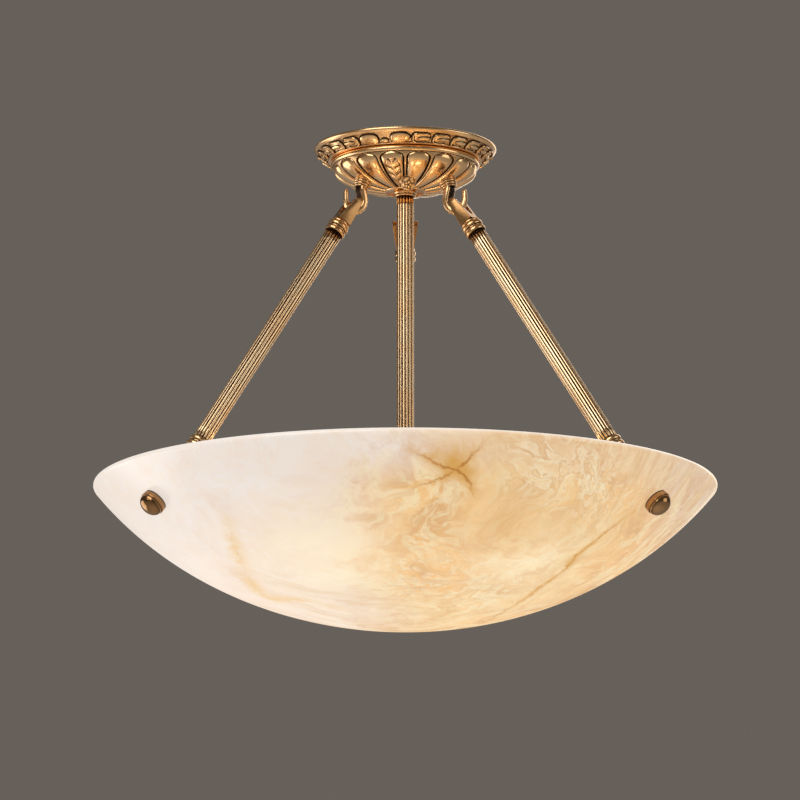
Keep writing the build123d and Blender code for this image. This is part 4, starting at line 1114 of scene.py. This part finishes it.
# %% Floor finish
floor_tone, floor_glow = (0.88, 0.85, 0.81), 0.22
floor_finish, floor_tree, floor_shader = mottled(
    "floor", floor_tone, (0.84, 0.81, 0.77), 3.0, 0.6, 0.7, 0.0,
)
ray = add(floor_tree, "LightPath").outputs
mirrored = calc("MAXIMUM", ray["Is Glossy Ray"], ray["Is Transmission Ray"])
seen = calc("MAXIMUM", ray["Is Camera Ray"], mirrored)
floor_light = {"Emission Color": (*floor_tone, 1.0), "Emission Strength": times(seen, floor_glow)}
feed(floor_tree, floor_shader, floor_light)
floor_mesh.materials.append(floor_finish)

# %% [markdown]
# ## Lampholders and bulbs
# Three white holders point outwards from the hub, and each carries an opal bulb. All are turned
# forms: the cap's thread is a radius that rises and falls, and the globe is an arc that a short
# neck joins to the cap.

# %% Lampholders and bulbs
holder = joined(
    ((12.5, 0.0), (12.5, 5.0), (17.5, 5.0), (17.5, 11.0)), arc((19.5, 12.0), 2.0, 150, 90, 5),
    ((24.0, 14.0), (25.0, 13.2), (26.0, 14.0), (29.0, 14.0), (30.0, 13.2), (31.0, 14.0), (50.0, 14.0)),
    arc((54.0, 12.5), 1.5, 90, 0, 5), ((55.5, 7.3), (28.5, 7.3), (28.5, 0.0)),
)
thread, thread_turns = np.linspace(0, 1, 90), 7
cap = np.stack((29.0 + 26.7 * thread, 6.6 + 0.4 * np.cos(2 * np.pi * thread_turns * thread)), -1)
cap = joined(((28.9, 0.0),), cap, ((55.8, 0.0),))
globe_radius, neck_end = 22.5, (63.2, 13.6)
globe_middle = 61.8 + math.sqrt(globe_radius**2 - 12.0**2)
globe_start = math.degrees(math.atan2(neck_end[1], neck_end[0] - globe_middle))
neck = smooth_line(((55.8, 7.0), (57.5, 8.2), (60.0, 11.0), neck_end), 14)
ball = arc((globe_middle, 0.0), globe_radius, globe_start, 0, 40)
globe = joined(((55.8, 0.0),), neck, ball)
hub_middle = (0.0, 0.0, -372.0)
for name, azimuth in arm_azimuth.items():
    out, bulb = radial(azimuth, 1.0, 0.0), f"bulb_{name}"
    lamp_parts = (
        (f"lampholder_{name}", "white", holder, 72, porcelain, "canopy", "holder"),
        (f"bulb_cap_{name}", "metal", cap, 48, bright_cap, bulb, "bulb_cap"),
        (f"bulb_globe_{name}", "opal", globe, 64, opal, bulb, "bulb_glass"),
    )
    for node, kind, profile, sides, finish, body, slot in lamp_parts:
        grid = (turned(profile, hub_middle, out, sides), True, False)
        make_piece(f"{node}_{kind}", [grid], finish, body, [node], ())

# %% [markdown]
# ## Fittings on the bowl
# A bolt through the wall carries an open ring inside and a domed cap nut outside. The nut's
# flange has a groove round it, and its dome is close to half an ellipsoid.

# %% Cap nuts and wall collars
wall_normal = (0.6777879, -0.7352575)
dome_angle = np.radians(np.linspace(90, 0, 26))
dome = np.stack((6.0 + 8.6 * np.cos(dome_angle), 11.7 * np.sin(dome_angle) ** 0.9), -1)
nut = joined(
    ((8.0, 0.0), (8.0, 4.05), (1.0, 4.05), (1.0, 12.0)), arc((1.5, 11.9), 0.5, 180, 90, 4),
    ((4.4, 12.4),), arc((5.2, 11.8), 0.6, 90, 0, 4), ((5.9, 11.4),), dome,
)
nut_marks = np.clip(hollow(nut[:, 1], 3, 0.9) * (nut[:, 1] > 10.7), 0, 1)[None, :]
wall_collar = ringed(-18.372, (2.5, 2.5), (11.0, 10.6), 4.05)
wall_collars = []
for name, azimuth in arm_azimuth.items():
    spot, out = radial(azimuth, 269.0, -372.0511), radial(azimuth, *wall_normal)
    cap_nut, nut_grid = f"cap_nut_{name}", (turned(nut, spot, out, 96), True, False, nut_marks)
    brass_piece(cap_nut, nut_grid, cap_nut, nut_brass)
    wall_collars.append(ring_grid(wall_collar, spot, out))
make_piece("wall_collar_brass", wall_collars, cast_brass, "bowl", ["wall_collars"])

# %% [markdown]
# ## Pieces kept from the model
# The plate, nipple, nuts, screws, gaskets, rods and ring hooks are hardly seen, and the model's
# own form is enough for them. They only get their finishes.

# %% Finishes of the pieces kept from the model
kept_finish = {
    "ceiling_plate": zinc, "nipple": zinc, "nipple_nuts": zinc, "hook_nuts": zinc,
    "earth_screw": nut_brass, "terminal_screws": zinc, "terminal_block": moulded,
    "inner_gaskets": rubber, "outer_gaskets": rubber,
}
for name in arm_azimuth:
    kept_finish[f"arm_{name}_tie_rod"] = zinc
    kept_finish[f"wall_hook_{name}"] = cast_brass
for node, finish in kept_finish.items():
    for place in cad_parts[node].material_slots:
        place.material = finish
print("kept from the model", len(kept_finish), "nodes")
